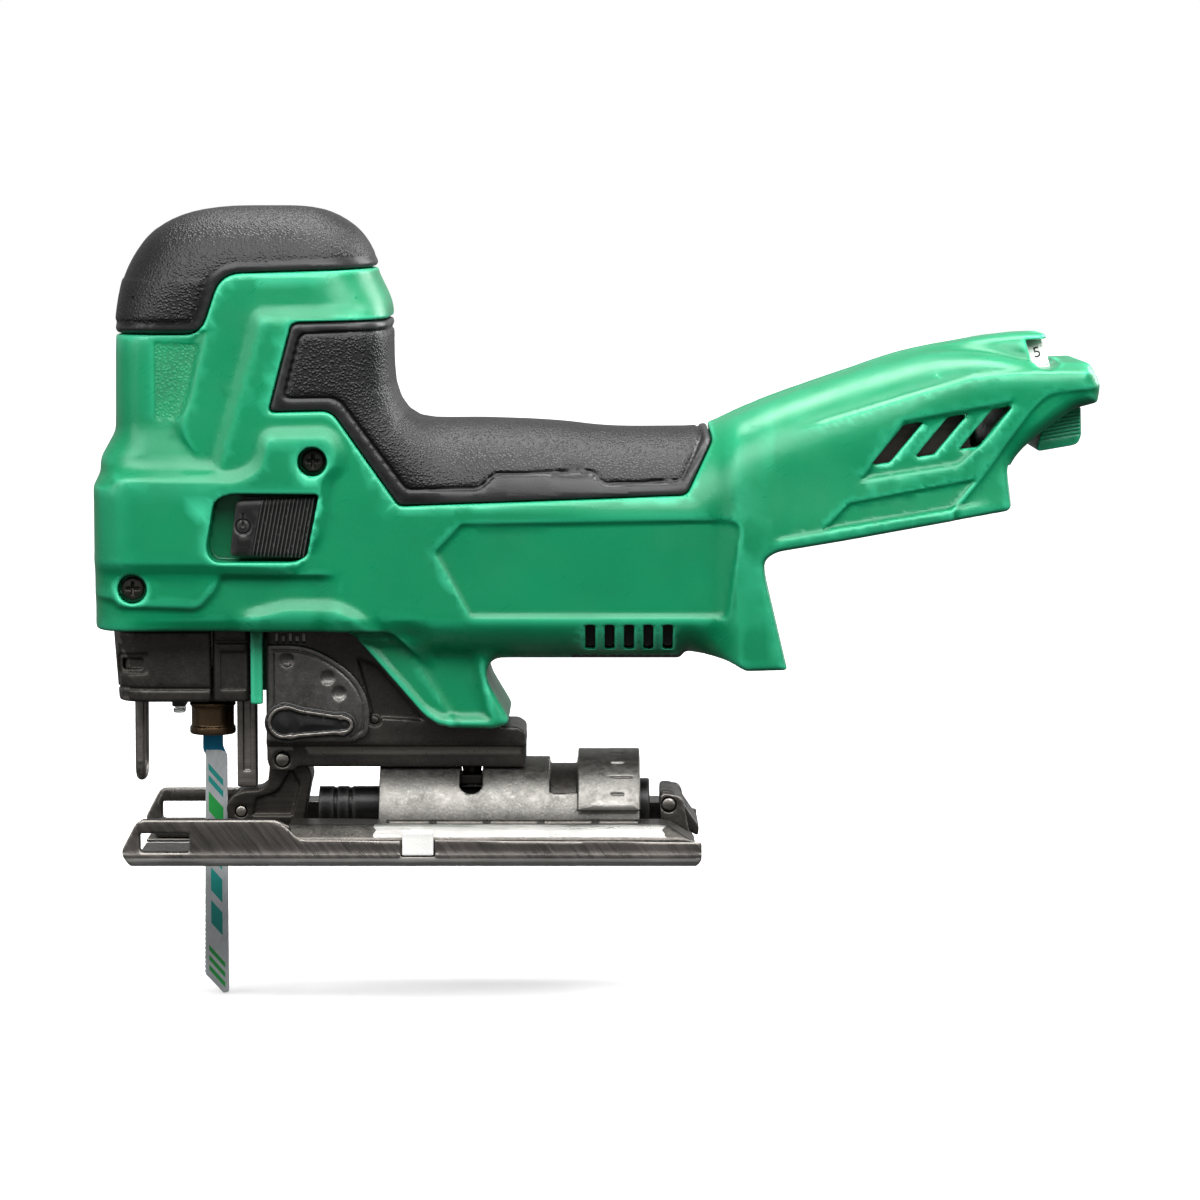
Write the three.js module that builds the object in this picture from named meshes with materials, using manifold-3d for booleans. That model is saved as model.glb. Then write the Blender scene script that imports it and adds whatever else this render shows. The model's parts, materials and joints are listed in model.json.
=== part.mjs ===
// Cordless barrel-grip jigsaw, bare tool.
// Millimetres, +Z up, +X towards the battery end, +Y to the tool's right.
// The origin is the centre of the sole's flat underside. The blade points down, its teeth face -X.
import * as THREE from "three";
import { mergeVertices } from "three/addons/utils/BufferGeometryUtils.js";
import Module from "manifold-3d";

const wasm = await Module();
wasm.setup();

// ------------------------------------------------ driving dimensions
const GAP = 0.3; // running and seating gap between neighbouring pieces
const WALL = 4; // housing wall
const SPLIT = 0.15; // each housing half stops this far from the middle plane

const FRONT_X = -94; // front of the collar
const HEAD_HALF = 33; // half width of the head
const HEAD_TOP = 193.5;
const HEAD_FLOOR = 68.4; // underside of the head
const NECK_X = -6.4; // rear of the neck
const BARREL_HALF = 33.5;
const BARREL_TOP = 129.5;
const BARREL_BOTTOM = 59.5;
const ARM_HALF = 37.5; // half width over the battery rails
const BATTERY_TILT = 10; // the battery slides in along a line that rises this many degrees
const BATTERY_START = [107, 92.3]; // front end of the rails' underside

const SOLE_HALF_LENGTH = 85.4;
const SOLE_HALF_WIDTH = 38.5;
const SOLE_SHEET = 1.2; // steel shoe
const FORK_HALF = 13; // half width of the blade opening
const TILT_AXIS_Z = 8; // the base tilts about this line, along X
const SADDLE_R = 20; // outer radius of the base's half tube

const PLUNGER_X = -61;
const STROKE = 26;
const MOTOR_Z = 92;
const MODULE = 0.9; // gear tooth module
const PINION_TEETH = 10;
const GEAR_TEETH = 50;
const GEAR_Z = MOTOR_Z + (MODULE * (PINION_TEETH + GEAR_TEETH)) / 2;
const CRANK_R = STROKE / 2;
const REST_BELOW_TOP = 9; // the plunger is shown this far below the top of its stroke
const PIN_UP = CRANK_R - REST_BELOW_TOP;
const PIN_SIDE = -Math.sqrt(CRANK_R ** 2 - PIN_UP ** 2);

const BRACKET_HALF = 14.5;
const SELECTOR_AT = [-38.4, 40.3]; // pivot of the orbit selector, X and Z
const ROLLER_PIVOT = [-39.4, 28.4];
const ROLLER_AT = [-52.1, 12.4];
const LEVER_HINGE = [-62, 15.4]; // upright hinge of the front lever, X and Y
const DIAL_AT = [185.6, 145.3];
const DIAL_TILT = 15;
const LOCK_AT = [76, 15.5]; // pin of the base lock lever, X and Z

// ------------------------------------------------ geometry helpers
const rad = THREE.MathUtils.degToRad;
const LONG = 60; // reaches past the object on both sides

// A closed three.js geometry as a solid.
function solid(geometry) {
  const bare = geometry.clone();
  bare.deleteAttribute("normal");
  bare.deleteAttribute("uv");
  const merged = mergeVertices(bare, 1e-4);
  const mesh = new wasm.Mesh({
    numProp: 3,
    vertProperties: new Float32Array(merged.attributes.position.array),
    triVerts: new Uint32Array(merged.index.array),
  });
  return new wasm.Manifold(mesh);
}

// A solid as a three.js geometry with flat normals.
function geometryOf(made) {
  const mesh = made.getMesh();
  const geometry = new THREE.BufferGeometry();
  geometry.setAttribute("position", new THREE.BufferAttribute(mesh.vertProperties, 3));
  geometry.setIndex(new THREE.BufferAttribute(mesh.triVerts, 1));
  geometry.computeVertexNormals();
  return geometry;
}

// A closed outline through [u, v] or [u, v, r] corners, where r rounds the corner.
function outline(corners) {
  const shape = new THREE.Shape();
  const at = corners.map(([u, v]) => new THREE.Vector2(u, v));
  corners.forEach(([, , r = 0], i) => {
    const back = at[(i + at.length - 1) % at.length].clone().sub(at[i]);
    const ahead = at[(i + 1) % at.length].clone().sub(at[i]);
    const room = Math.min(r, 0.48 * back.length(), 0.48 * ahead.length());
    const start = at[i].clone().add(back.setLength(room));
    const end = at[i].clone().add(ahead.setLength(room));
    if (i === 0) shape.moveTo(start.x, start.y);
    else shape.lineTo(start.x, start.y);
    if (r > 0) shape.quadraticCurveTo(at[i].x, at[i].y, end.x, end.y);
  });
  shape.closePath();
  return shape;
}

// The same corners moved inwards by d. The corners run anticlockwise.
function inset(corners, d) {
  const n = corners.length;
  const moved = corners.map(([u, v], i) => {
    const [nu, nv] = corners[(i + 1) % n];
    const along = new THREE.Vector2(nu - u, nv - v).normalize();
    return { u: u - along.y * d, v: v + along.x * d, along };
  });
  return corners.map(([, , r = 0], i) => {
    const a = moved[(i + n - 1) % n];
    const b = moved[i];
    const turn = a.along.cross(b.along);
    const t = ((b.u - a.u) * b.along.y - (b.v - a.v) * b.along.x) / turn;
    const radius = r === 0 ? 0 : Math.max(0.5, turn > 0 ? r - d : r + d);
    return [a.u + a.along.x * t, a.v + a.along.y * t, radius];
  });
}

const extrude = (shape, depth, segments = 4) =>
  new THREE.ExtrudeGeometry(shape, { depth, bevelEnabled: false, curveSegments: segments });

// Prisms of an outline: drawn in X and Z and extruded along Y, and so on.
function prismY(corners, from, to, segments) {
  return solid(extrude(outline(corners), to - from, segments).rotateX(Math.PI / 2).translate(0, to, 0));
}
function prismX(corners, from, to, segments) {
  const turn = new THREE.Matrix4().makeBasis(
    new THREE.Vector3(0, 1, 0),
    new THREE.Vector3(0, 0, 1),
    new THREE.Vector3(1, 0, 0),
  );
  return solid(extrude(outline(corners), to - from, segments).applyMatrix4(turn).translate(from, 0, 0));
}
function prismZ(corners, from, to, segments) {
  return solid(extrude(outline(corners), to - from, segments).translate(0, 0, from));
}

function box(x0, x1, y0, y1, z0, z1) {
  const geometry = new THREE.BoxGeometry(x1 - x0, y1 - y0, z1 - z0);
  return solid(geometry.translate((x0 + x1) / 2, (y0 + y1) / 2, (z0 + z1) / 2));
}

// A cylinder along an axis, from one coordinate to another, centred on the other two.
function rod(axis, r, from, to, centre, sides = 20) {
  const geometry = new THREE.CylinderGeometry(r, r, to - from, sides).translate(0, (from + to) / 2, 0);
  if (axis === "x") geometry.rotateZ(-Math.PI / 2).translate(0, centre[0], centre[1]);
  if (axis === "y") geometry.translate(centre[0], 0, centre[1]);
  if (axis === "z") geometry.rotateX(Math.PI / 2).translate(centre[0], centre[1], 0);
  return solid(geometry);
}

const ring = (axis, outer, inner, from, to, centre, sides) =>
  rod(axis, outer, from, to, centre, sides).subtract(rod(axis, inner, from - 1, to + 1, centre, sides));

// A rectangle with rounded corners, for prisms.
const slab = (u0, u1, v0, v1, r = 0) => [[u0, v0, r], [u1, v0, r], [u1, v1, r], [u0, v1, r]];

// Turns a solid about an axis along Y through x, z so that +X rises by the angle.
const raise = (made, degrees, [x, z]) =>
  made.translate(-x, 0, -z).rotate(0, -degrees, 0).translate(x, 0, z);

const joined = (parts) => parts.reduce((a, b) => a.add(b));

// ------------------------------------------------ materials
const material = (color, roughness, metalness) =>
  new THREE.MeshStandardMaterial({ color, roughness, metalness });
const GREEN = material(0x0a8a55, 0.45, 0);
const SOFT_BLACK = material(0x2b2a2b, 0.85, 0);
const BLACK = material(0x1c1b1c, 0.55, 0);
const DARK_CAST = material(0x2c2a29, 0.5, 0.6);
const CAST = material(0x8f8f8e, 0.45, 0.9);
const STEEL = material(0x9a9a98, 0.35, 1);
const DARK_STEEL = material(0x3a3735, 0.45, 0.9);
const BRIGHT = material(0xd8d8d6, 0.2, 1);
const BRONZE = material(0x7a6146, 0.35, 0.9);
const COPPER = material(0xb06a3a, 0.4, 0.9);
const WHITE = material(0xeeeeec, 0.4, 0);
const LENS = material(0xf4f4ee, 0.1, 0);

const jigsaw = new THREE.Group();
jigsaw.name = "jigsaw";
function piece(name, made, look) {
  const mesh = new THREE.Mesh(geometryOf(made), look);
  mesh.name = name;
  jigsaw.add(mesh);
}

// ------------------------------------------------ housing: outlines in X and Z, anticlockwise
const HEAD_SIDE = [
  [FRONT_X, HEAD_FLOOR], [14, HEAD_FLOOR], [14, BARREL_TOP], [NECK_X, BARREL_TOP, 12], [NECK_X, 163, 3],
  [-10.8, 174], [-10.8, HEAD_TOP, 19], [-87.7, HEAD_TOP, 29], [-87.7, 126, 3], [-92.2, 118], [-92.2, 115],
  [FRONT_X, 111],
];
const BARREL_SIDE = [
  [-19.5, HEAD_FLOOR], [-14, BARREL_BOTTOM + 3], [20, BARREL_BOTTOM], [103.4, BARREL_BOTTOM], [103.4, 118],
  [95, 131.4], [87, 127.8], [70, 127.2], [56, 127.5], [43, 129.3], [20, 130.4], [9, BARREL_TOP - 0.3],
  [-19.5, BARREL_TOP],
];
const LEG_SIDE = [
  [-22, 75], [-22, 72], [-19, HEAD_FLOOR], [6.8, 39, 6], [29.6, 39, 4], [21, 54.5, 3], [21, 75],
];
const WING_SIDE = [
  [84, 110], [84, 64], [88.5, 61.4], [98, 57.3], [110.5, 57.3], [103.4, 90], [103.4, 110],
];
const ARM_SIDE = [
  [80, 92.3], BATTERY_START, [175, 104.3], [174.6, 117, 4], [184, 127, 6], [194.9, 134.1], [201.3, 135.6],
  [203, 140, 2], [200, 148, 2], [193.3, 147.3], [188.5, 152], [187.5, 156, 1.5], [170, 154.9], [153, 151.5],
  [120, 141.3], [97, 132.3], [80, 127],
];
const headPlan = (d) => inset([
  [FRONT_X, -HEAD_HALF, 16], [15, -HEAD_HALF], [15, HEAD_HALF], [FRONT_X, HEAD_HALF, 16],
], d);
const headFront = (d) => inset([
  [-HEAD_HALF, HEAD_FLOOR - 1], [HEAD_HALF, HEAD_FLOOR - 1], [HEAD_HALF, HEAD_TOP, 26],
  [-HEAD_HALF, HEAD_TOP, 26],
], d);
const barrelFront = (d) => inset(slab(-BARREL_HALF, BARREL_HALF, BARREL_BOTTOM, 131.4, 20), d);
const armFront = (d) => inset([
  [-ARM_HALF, -12], [ARM_HALF, -12], [ARM_HALF, 49, 20], [-ARM_HALF, 49, 20],
], d);
const ARM_TILT = 12.5;
const ARM_FROM = [95, 88];

function headBlock(d) {
  return prismY(inset(HEAD_SIDE, d), -LONG, LONG)
    .intersect(prismZ(headPlan(d), 0, 250))
    .intersect(prismX(headFront(d), -150, 60));
}
function barrelBlock(d) {
  return prismY(inset(BARREL_SIDE, d), -LONG, LONG).intersect(prismX(barrelFront(d), -60, 140));
}
function armBlock(d) {
  const level = prismX(armFront(d), -40, 150).translate(ARM_FROM[0], 0, ARM_FROM[1]);
  const tube = raise(level, ARM_TILT, ARM_FROM);
  return prismY(inset(ARM_SIDE, d), -LONG, LONG).intersect(tube);
}
function wingBlock() {
  const plan = [
    [82, -30], [97, -ARM_HALF, 2], [112, -ARM_HALF], [112, ARM_HALF], [97, ARM_HALF, 2], [82, 30],
  ];
  return prismY(WING_SIDE, -LONG, LONG).intersect(prismZ(plan, 0, 200));
}
const legBlock = () => prismY(LEG_SIDE, -25, 25);

// Frame of the battery rails: X along the rails, Z away from the battery.
const railFrame = (made) =>
  raise(made.translate(BATTERY_START[0], 0, BATTERY_START[1]), BATTERY_TILT, BATTERY_START);
const CHANNEL_TOP = 13;

const armCavity = () => {
  const inner = armBlock(WALL);
  return inner.subtract(railFrame(box(-60, 130, -LONG, LONG, -30, CHANNEL_TOP + 3)))
    .subtract(box(179, 210, -LONG, LONG, 90, 170));
};
const cavity = joined([headBlock(WALL), barrelBlock(WALL), armCavity()])
  .add(box(-20, 26, -BRACKET_HALF - GAP, BRACKET_HALF + GAP, 30, HEAD_FLOOR + 8));
const shellOuter = joined([headBlock(0), barrelBlock(0), legBlock(), wingBlock(), armBlock(0)]);

// Soft skins: outlines in X and Z on the housing's side.
const PAD_DEPTH = 2.2;
const CAP_REGION = [
  [-100, 155.6], [-61.5, 155.6, 3], [-55.5, 172.5, 5], [0, 174.2], [0, 210], [-100, 210],
];
const GRIP_REGION = [
  [10, 160], [NECK_X - 30, 159.3, 2], [-41.5, 133.4, 2], [-22.6, 133.4, 3], [-3.3, 105.8, 1],
  [81.5, 108.8, 1],
  [88.5, 124.2], [86, 140], [10, 140],
];
const coreAt = (depth) => joined([headBlock(depth), barrelBlock(depth)]);
const skinCore = coreAt(PAD_DEPTH);
const skin = (region) => shellOuter.intersect(prismY(region, -LONG, LONG)).subtract(skinCore);
const skinBed = (region) =>
  prismY(inset(region, -GAP), -LONG, LONG).subtract(coreAt(PAD_DEPTH + GAP));

// Screw bosses reach from each half to the middle plane.
const LEFT_SCREWS = [[-28.7, 118.8], [-81.9, 81.2]];
const RIGHT_SCREWS = [[-79, 146], [94, 104], [168, 140]];
const BOSS_R = 4.4;
const boss = (at) => rod("y", BOSS_R, -31, 31, at, 12);
const SCREW_SEAT = 27; // a screw's head rests at this distance from the middle plane

function screwHole(at, side) {
  const made = rod("y", 3.9, SCREW_SEAT, LONG, at, 16).add(rod("y", 1.9, -20, SCREW_SEAT + 1, at, 10));
  return side < 0 ? made.mirror([0, 1, 0]) : made;
}

const SWITCH_WINDOW = [
  [-58.2, 88.1, 2], [-34, 88, 2], [-30.4, 90.5, 1], [-26.6, 109.2, 1], [-53.6, 109.4, 1], [-58, 107.1, 1],
  [-60.4, 92.7, 1],
];
const ventSlot = (x, z, lean) => [[x, z], [x + 5, z + 0.9], [x + 5 + lean, z + 12.6], [x + lean, z + 11.7]];

function housing() {
  let made = shellOuter.subtract(cavity);
  const bosses = joined([...LEFT_SCREWS, ...RIGHT_SCREWS].map(boss)).intersect(shellOuter);
  made = made.add(bosses);
  made = made.subtract(skinBed(CAP_REGION)).subtract(skinBed(GRIP_REGION));
  for (const at of LEFT_SCREWS) made = made.subtract(screwHole(at, -1));
  for (const at of RIGHT_SCREWS) made = made.subtract(screwHole(at, 1));
  // Switch windows on both sides.
  made = made.subtract(prismY(SWITCH_WINDOW, -LONG, LONG));
  // Cooling vents: three leaning slots in the arm, five upright ones low on the barrel.
  for (let i = 0; i < 3; i++) {
    made = made.subtract(prismY(ventSlot(134.9 + 12.9 * i, 118 + 2.3 * i, 10), -LONG, LONG));
  }
  for (let i = 0; i < 5; i++) {
    const x = 51.2 + 5.7 * i;
    made = made.subtract(box(x, x + 2.8, -LONG, LONG, 63.2, 70.8));
  }
  // Battery rails: a wide channel with a narrower mouth.
  made = made.subtract(railFrame(box(0.5, 130, -33.2, 33.2, 3.2, CHANNEL_TOP)));
  made = made.subtract(railFrame(box(0.5, 130, -29.5, 29.5, -30, 3.4)));
  // Plunger, pusher and bracket openings in the head's floor.
  made = made.subtract(rod("z", 7.8, 60, 73, [PLUNGER_X, 0], 20));
  made = made.subtract(box(-54.2, -47.2, -3.2, 3.2, 60, 73));
  // Speed dial slot.
  const dialSlot = rod("x", 10.2, DIAL_AT[0] - 4.3, DIAL_AT[0] + 4.3, [0, DIAL_AT[1]], 20);
  made = made.subtract(raise(dialSlot, DIAL_TILT, DIAL_AT));
  // Rib beside the pusher, on each side.
  for (const side of [-1, 1]) {
    const [y0, y1] = side < 0 ? [-21, -17.6] : [17.6, 21];
    made = made.add(box(-48.2, -44.5, y0, y1, 46, HEAD_FLOOR + 1));
  }
  return made;
}

const whole = housing();
piece("housing_left", whole.intersect(box(-150, 250, -LONG, -SPLIT, 0, 250)), GREEN);
piece("housing_right", whole.intersect(box(-150, 250, SPLIT, LONG, 0, 250)), GREEN);

const capSkin = skin(CAP_REGION);
const gripSkin = skin(GRIP_REGION);
for (const [side, from, to] of [["left", -LONG, -SPLIT], ["right", SPLIT, LONG]]) {
  const half = box(-150, 250, from, to, 0, 250);
  piece("head_pad_" + side, capSkin.intersect(half), SOFT_BLACK);
  piece("grip_pad_" + side, gripSkin.intersect(half), SOFT_BLACK);
}

function screw(at, side) {
  const head = rod("y", 3.4, SCREW_SEAT + GAP, SCREW_SEAT + 2.6, at, 16);
  const shank = rod("y", 1.5, -8, SCREW_SEAT + 1, at, 8);
  const slot = box(at[0] - 1.9, at[0] + 1.9, SCREW_SEAT + 1.4, LONG, at[1] - 0.35, at[1] + 0.35);
  const cross = box(at[0] - 0.35, at[0] + 0.35, SCREW_SEAT + 1.4, LONG, at[1] - 1.9, at[1] + 1.9);
  const made = head.add(shank).subtract(slot).subtract(cross);
  return side > 0 ? made : made.mirror([0, 1, 0]);
}
LEFT_SCREWS.forEach((at, i) => piece("housing_screw_left_" + (i + 1), screw(at, -1), DARK_STEEL));
RIGHT_SCREWS.forEach((at, i) => piece("housing_screw_right_" + (i + 1), screw(at, 1), DARK_STEEL));

// ------------------------------------------------ motor
const MOTOR = [0, MOTOR_Z];
const SHAFT_R = 3;
const stator = rod("x", 25, 8, 50, MOTOR, 24).add(rod("x", 22.5, 1, 57, MOTOR, 24));
piece("motor_stator", stator.subtract(rod("x", 15.5, 0, 60, MOTOR, 24)), DARK_STEEL);
piece("motor_bearing_front", ring("x", 8.5, SHAFT_R + GAP, -33.4, -28, MOTOR, 20), STEEL);
piece("motor_bearing_rear", ring("x", 8.5, SHAFT_R + GAP, 75, 81, MOTOR, 20), STEEL);
piece("rotor_core", ring("x", 14.8, SHAFT_R + GAP, 9, 49, MOTOR, 24), DARK_STEEL);

function fan() {
  let made = rod("x", 24, 61, 62.6, MOTOR, 24).add(rod("x", 8, 62, 70, MOTOR, 24));
  const blades = 9;
  for (let i = 0; i < blades; i++) {
    const blade = box(62, 69, -0.7, 0.7, 7, 23).rotate((i * 360) / blades, 0, 0).translate(0, 0, MOTOR_Z);
    made = made.add(blade);
  }
  return made.subtract(rod("x", SHAFT_R + GAP, 50, 80, MOTOR, 16));
}
piece("cooling_fan", fan(), BLACK);

// ------------------------------------------------ gears and crank
// Straight-sided teeth on a pitch circle, with backlash.
function gearOutline(teeth, phase) {
  const pitch = (MODULE * teeth) / 2;
  const tip = pitch + 0.82 * MODULE;
  const root = pitch - 1.1 * MODULE;
  const step = (2 * Math.PI) / teeth;
  const corners = [];
  for (let i = 0; i < teeth; i++) {
    const middle = i * step + phase;
    for (const [r, share] of [[root, -0.36], [tip, -0.12], [tip, 0.12], [root, 0.36]]) {
      corners.push([r * Math.cos(middle + share * step), r * Math.sin(middle + share * step)]);
    }
  }
  return corners;
}
const GEAR_FRONT = -45;
const GEAR_REAR = -38;
// The gear has a tooth pointing down at the pinion, and the pinion a gap pointing up at it.
const HUB = [0, GEAR_Z];
const AXLE_R = 4;
const crankGear = prismX(gearOutline(GEAR_TEETH, -Math.PI / 2), GEAR_FRONT, GEAR_REAR).translate(0, 0, GEAR_Z)
  .subtract(rod("x", AXLE_R + GAP, -60, -30, HUB, 16))
  .add(rod("x", 3.5, -50, GEAR_FRONT + 1, [PIN_SIDE, GEAR_Z + PIN_UP], 12));
// A balance weight stands on the gear's face, opposite the crank pin.
const weightSide = [
  [6, GEAR_Z - 13], [17, GEAR_Z - 11, 3], [20, GEAR_Z], [17, GEAR_Z + 11, 3], [6, GEAR_Z + 13],
];
piece("crank_gear", crankGear.add(prismX(weightSide, -48.5, GEAR_FRONT + 1)), STEEL);
const pinion = prismX(gearOutline(PINION_TEETH, Math.PI / 2 + Math.PI / PINION_TEETH), -46, -34 - GAP)
  .translate(0, 0, MOTOR_Z);
piece("rotor_shaft", pinion.add(rod("x", SHAFT_R, -35, 82, MOTOR, 16)), STEEL);

// ------------------------------------------------ gear case: a C-shaped frame, open to the front
const CASE_SIDE = [
  [-70, 72.8], [-33.8, 72.8], [-33.8, 158], [-70, 158], [-70, 147], [-37.4, 147], [-37.4, 82], [-70, 82],
];
const gearCase = prismY(CASE_SIDE, -17, 17)
  .subtract(rod("z", 7 + GAP, 60, 200, [PLUNGER_X, 0], 20))
  .subtract(rod("x", 7, -40, -30, MOTOR, 16))
  .add(rod("x", AXLE_R, -46, -35, HUB, 16));
piece("gear_case", gearCase, CAST);
piece("plunger_bush_lower", ring("z", 7, 5 + GAP, 73, 82, [PLUNGER_X, 0], 20), BRONZE);
piece("plunger_bush_upper", ring("z", 7, 5 + GAP, 147, 157, [PLUNGER_X, 0], 20), BRONZE);

// ------------------------------------------------ plunger, clamp and blade
const CLAMP_TOP = 55;
const COLLAR_TOP = 45;
const COLLAR_BOTTOM = 35;
piece("plunger_rod", rod("z", 5, CLAMP_TOP + GAP, 170, [PLUNGER_X, 0], 20), STEEL);
const YOKE_HALF = 21;
const YOKE_Z = GEAR_Z + PIN_UP;
const yoke = box(-55.7, -50.5, -YOKE_HALF, YOKE_HALF, YOKE_Z - 8, YOKE_Z + 8)
  .subtract(prismX(slab(-17.5, 17.5, YOKE_Z - 3.9, YOKE_Z + 3.9, 3.5), -60, -45, 3));
piece("plunger_yoke", yoke, STEEL);

const BLADE_BACK = -56.7;
const BLADE_FRONT = -64;
const BLADE_TIP = -44;
const TOOTH_PITCH = 3.9;
function blade() {
  const corners = [[-60.5, BLADE_TIP + 2.4]];
  corners.push([-58.4, BLADE_TIP], [BLADE_BACK, BLADE_TIP + 0.4], [BLADE_BACK, 28.6], [-58, 31], [-58, 50]);
  corners.push([-64, 50], [-64, 30]);
  for (let z = 28; z - TOOTH_PITCH > BLADE_TIP + 3; z -= TOOTH_PITCH) {
    corners.push([BLADE_FRONT + 1.1, z], [BLADE_FRONT - 0.3, z - TOOTH_PITCH + 0.5]);
  }
  corners.push([BLADE_FRONT, BLADE_TIP]);
  return prismY(corners, -0.6, 0.6, 1);
}
piece("saw_blade", blade(), STEEL);
const shankRoom = box(-64.4, -57.6, -0.95, 0.95, 20, 50.4);
const clampCollar = rod("z", 6.9, COLLAR_BOTTOM, COLLAR_TOP, [PLUNGER_X, 0], 24).subtract(shankRoom);
piece("blade_clamp_collar", clampCollar, BRONZE);
const clampBody = rod("z", 7.1, COLLAR_TOP + GAP, CLAMP_TOP, [PLUNGER_X, 0], 24).subtract(shankRoom);
piece("blade_clamp_body", clampBody, DARK_STEEL);

// ------------------------------------------------ nose: gear cover, lamp, front lever, guard wire
const coverPlan = slab(-59.6, -48.6, -17, 17, 2);
const gearCover = prismZ(coverPlan, 46.4, HEAD_FLOOR - GAP)
  .subtract(rod("z", 8.4, 40, 64, [PLUNGER_X, 0], 20))
  .subtract(box(-60, -40, -3.3, 3.3, 40, 64))
  .add(box(-59.6, -44.2, -12, 12, 64, HEAD_FLOOR - GAP))
  .subtract(rod("z", 7.8, 40, 80, [PLUNGER_X, 0], 20))
  .subtract(box(-54.3, -47.2, -3.3, 3.3, 40, 80));
piece("gear_cover", gearCover, BLACK);
piece("work_lamp", box(-73, -68.8, -4, 4, 43.4, HEAD_FLOOR - GAP), BLACK);
piece("work_lamp_lens", box(-72.6, -69.2, -3.4, 3.4, 41.5, 43.4 - GAP), LENS);

const leverOuter = [[-90, -17, 11], [-60.2, -17], [-60.2, 17], [-90, 17, 11]];
const LEVER_TOP = HEAD_FLOOR - 0.8;
const lever = prismZ(leverOuter, 46.2, LEVER_TOP, 5)
  .subtract(prismZ([[-87, -14, 9], [-50, -14], [-50, 14], [-87, 14, 9]], 40, 64.4, 5))
  .subtract(box(-74.6, -50, -14, 14, 60, 70))
  .subtract(box(-64.4, -50, 13, 20, 40, 70))
  .add(rod("z", 2, 46.2, LEVER_TOP, LEVER_HINGE, 12))
  .add(box(-66, LEVER_HINGE[0], 14.6, 16.6, 46.2, LEVER_TOP))
  .subtract(rod("z", 1 + GAP, 40, 80, LEVER_HINGE, 10));
piece("front_lever", lever, BLACK);
piece("lever_hinge_pin", rod("z", 1, 46.4, HEAD_FLOOR - GAP, LEVER_HINGE, 8), STEEL);

function guardWire() {
  const half = 6;
  const x = -82.3;
  const bottom = 22.5;
  const top = 64.1;
  const path = new THREE.CurvePath();
  const point = (y, z) => new THREE.Vector3(x, y, z);
  const bend = (a, b, c) => path.add(new THREE.QuadraticBezierCurve3(a, b, c));
  path.add(new THREE.LineCurve3(point(-half, top), point(-half, bottom + half)));
  bend(point(-half, bottom + half), point(-half, bottom), point(0, bottom));
  bend(point(0, bottom), point(half, bottom), point(half, bottom + half));
  path.add(new THREE.LineCurve3(point(half, bottom + half), point(half, top)));
  const section = new THREE.Shape();
  section.absarc(0, 0, 1.5, 0, 2 * Math.PI);
  return solid(new THREE.ExtrudeGeometry(section, { steps: 22, extrudePath: path, curveSegments: 4 }));
}
piece("guard_wire", guardWire(), STEEL);

// ------------------------------------------------ switch
const KNOB = [[-53.2, 91, 1.5], [-30.8, 90.3], [-27.4, 108.5], [-51.2, 107.2, 1.5]];
const KNOB_OUT = 31.5;
const knob = prismY(KNOB, 27, KNOB_OUT);
piece("switch_knob_left", knob.mirror([0, 1, 0]), BLACK);
piece("switch_knob_right", knob, BLACK);
const link = box(-50, -21, 24.6, 27 - GAP, 104, 108)
  .add(box(-50, -21, -27 + GAP, -24.6, 104, 108))
  .add(box(-24, -21, -25, 25, 104, 108));
piece("switch_link", link, BLACK);
piece("switch_module", box(-20, -4, -8, 8, 104, 118), BLACK);

// ------------------------------------------------ bracket under the housing
const BRACKET_SIDE = [
  [-44, 33], [33.3, 33], [33.3, 37, 1], [31, 38.6], [25.6, 38.6], [25.6, 44, 2], [16, 53.5], [16, 66],
  [-19.4, 68], [-44, 68],
];
const SADDLE_SIDE = [[-35, 26.2], [33.3, 26.2], [33.3, 34], [-35, 34]];
const EAR_HALF = 11.5;
const EAR_IN = 8.2;
const saddleHole = rod("x", SADDLE_R + 0.4, -60, 60, [0, TILT_AXIS_Z], 40);
const EAR_SIDE = [[-44, 34], [-44, 28], [-42.6, 24.6, 1], [-36.4, 24.6, 1], [-33.5, 28], [-33.5, 34]];
const ear = prismY(EAR_SIDE, EAR_IN, EAR_HALF);
const bracket = prismY(BRACKET_SIDE, -BRACKET_HALF, BRACKET_HALF)
  .add(prismY(SADDLE_SIDE, -EAR_HALF, EAR_HALF))
  .add(ear).add(ear.mirror([0, 1, 0]))
  .subtract(saddleHole)
  .subtract(box(-46, -29.5, -EAR_IN, EAR_IN, 20, 36))
  .subtract(rod("y", 2 + GAP, -LONG, LONG, ROLLER_PIVOT, 12))
  .subtract(rod("y", 3 + GAP, -LONG, LONG, SELECTOR_AT, 12))
  .subtract(rod("z", 3 + GAP, 20, 44, [17, 0], 12))
  .subtract(box(-54, -46.5, -4, 4, 30, 70));
piece("base_bracket", bracket, DARK_CAST);

const DETENT_SIDE = [
  [-43.6, 34.2], [-18, 34.2, 2], [-13.4, 36.5, 2], [-12.6, 46, 5], [-18, 55.5, 6], [-31, 63.4, 6],
  [-43.6, 63.4],
];
const DETENT_R = 18.4;
let detent = prismY(DETENT_SIDE, -BRACKET_HALF - 1.6, -BRACKET_HALF - GAP)
  .subtract(rod("y", 3 + GAP, -LONG, LONG, SELECTOR_AT, 12));
for (const angle of [27.5, 45.6, 87.5]) {
  const dimple = [DETENT_R * Math.cos(rad(angle)), DETENT_R * Math.sin(rad(angle))];
  const at = [SELECTOR_AT[0] + dimple[0], SELECTOR_AT[1] + dimple[1]];
  detent = detent.subtract(rod("y", 1.8, -LONG, LONG, at, 12));
}
piece("orbit_detent_plate", detent, CAST);

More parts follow.
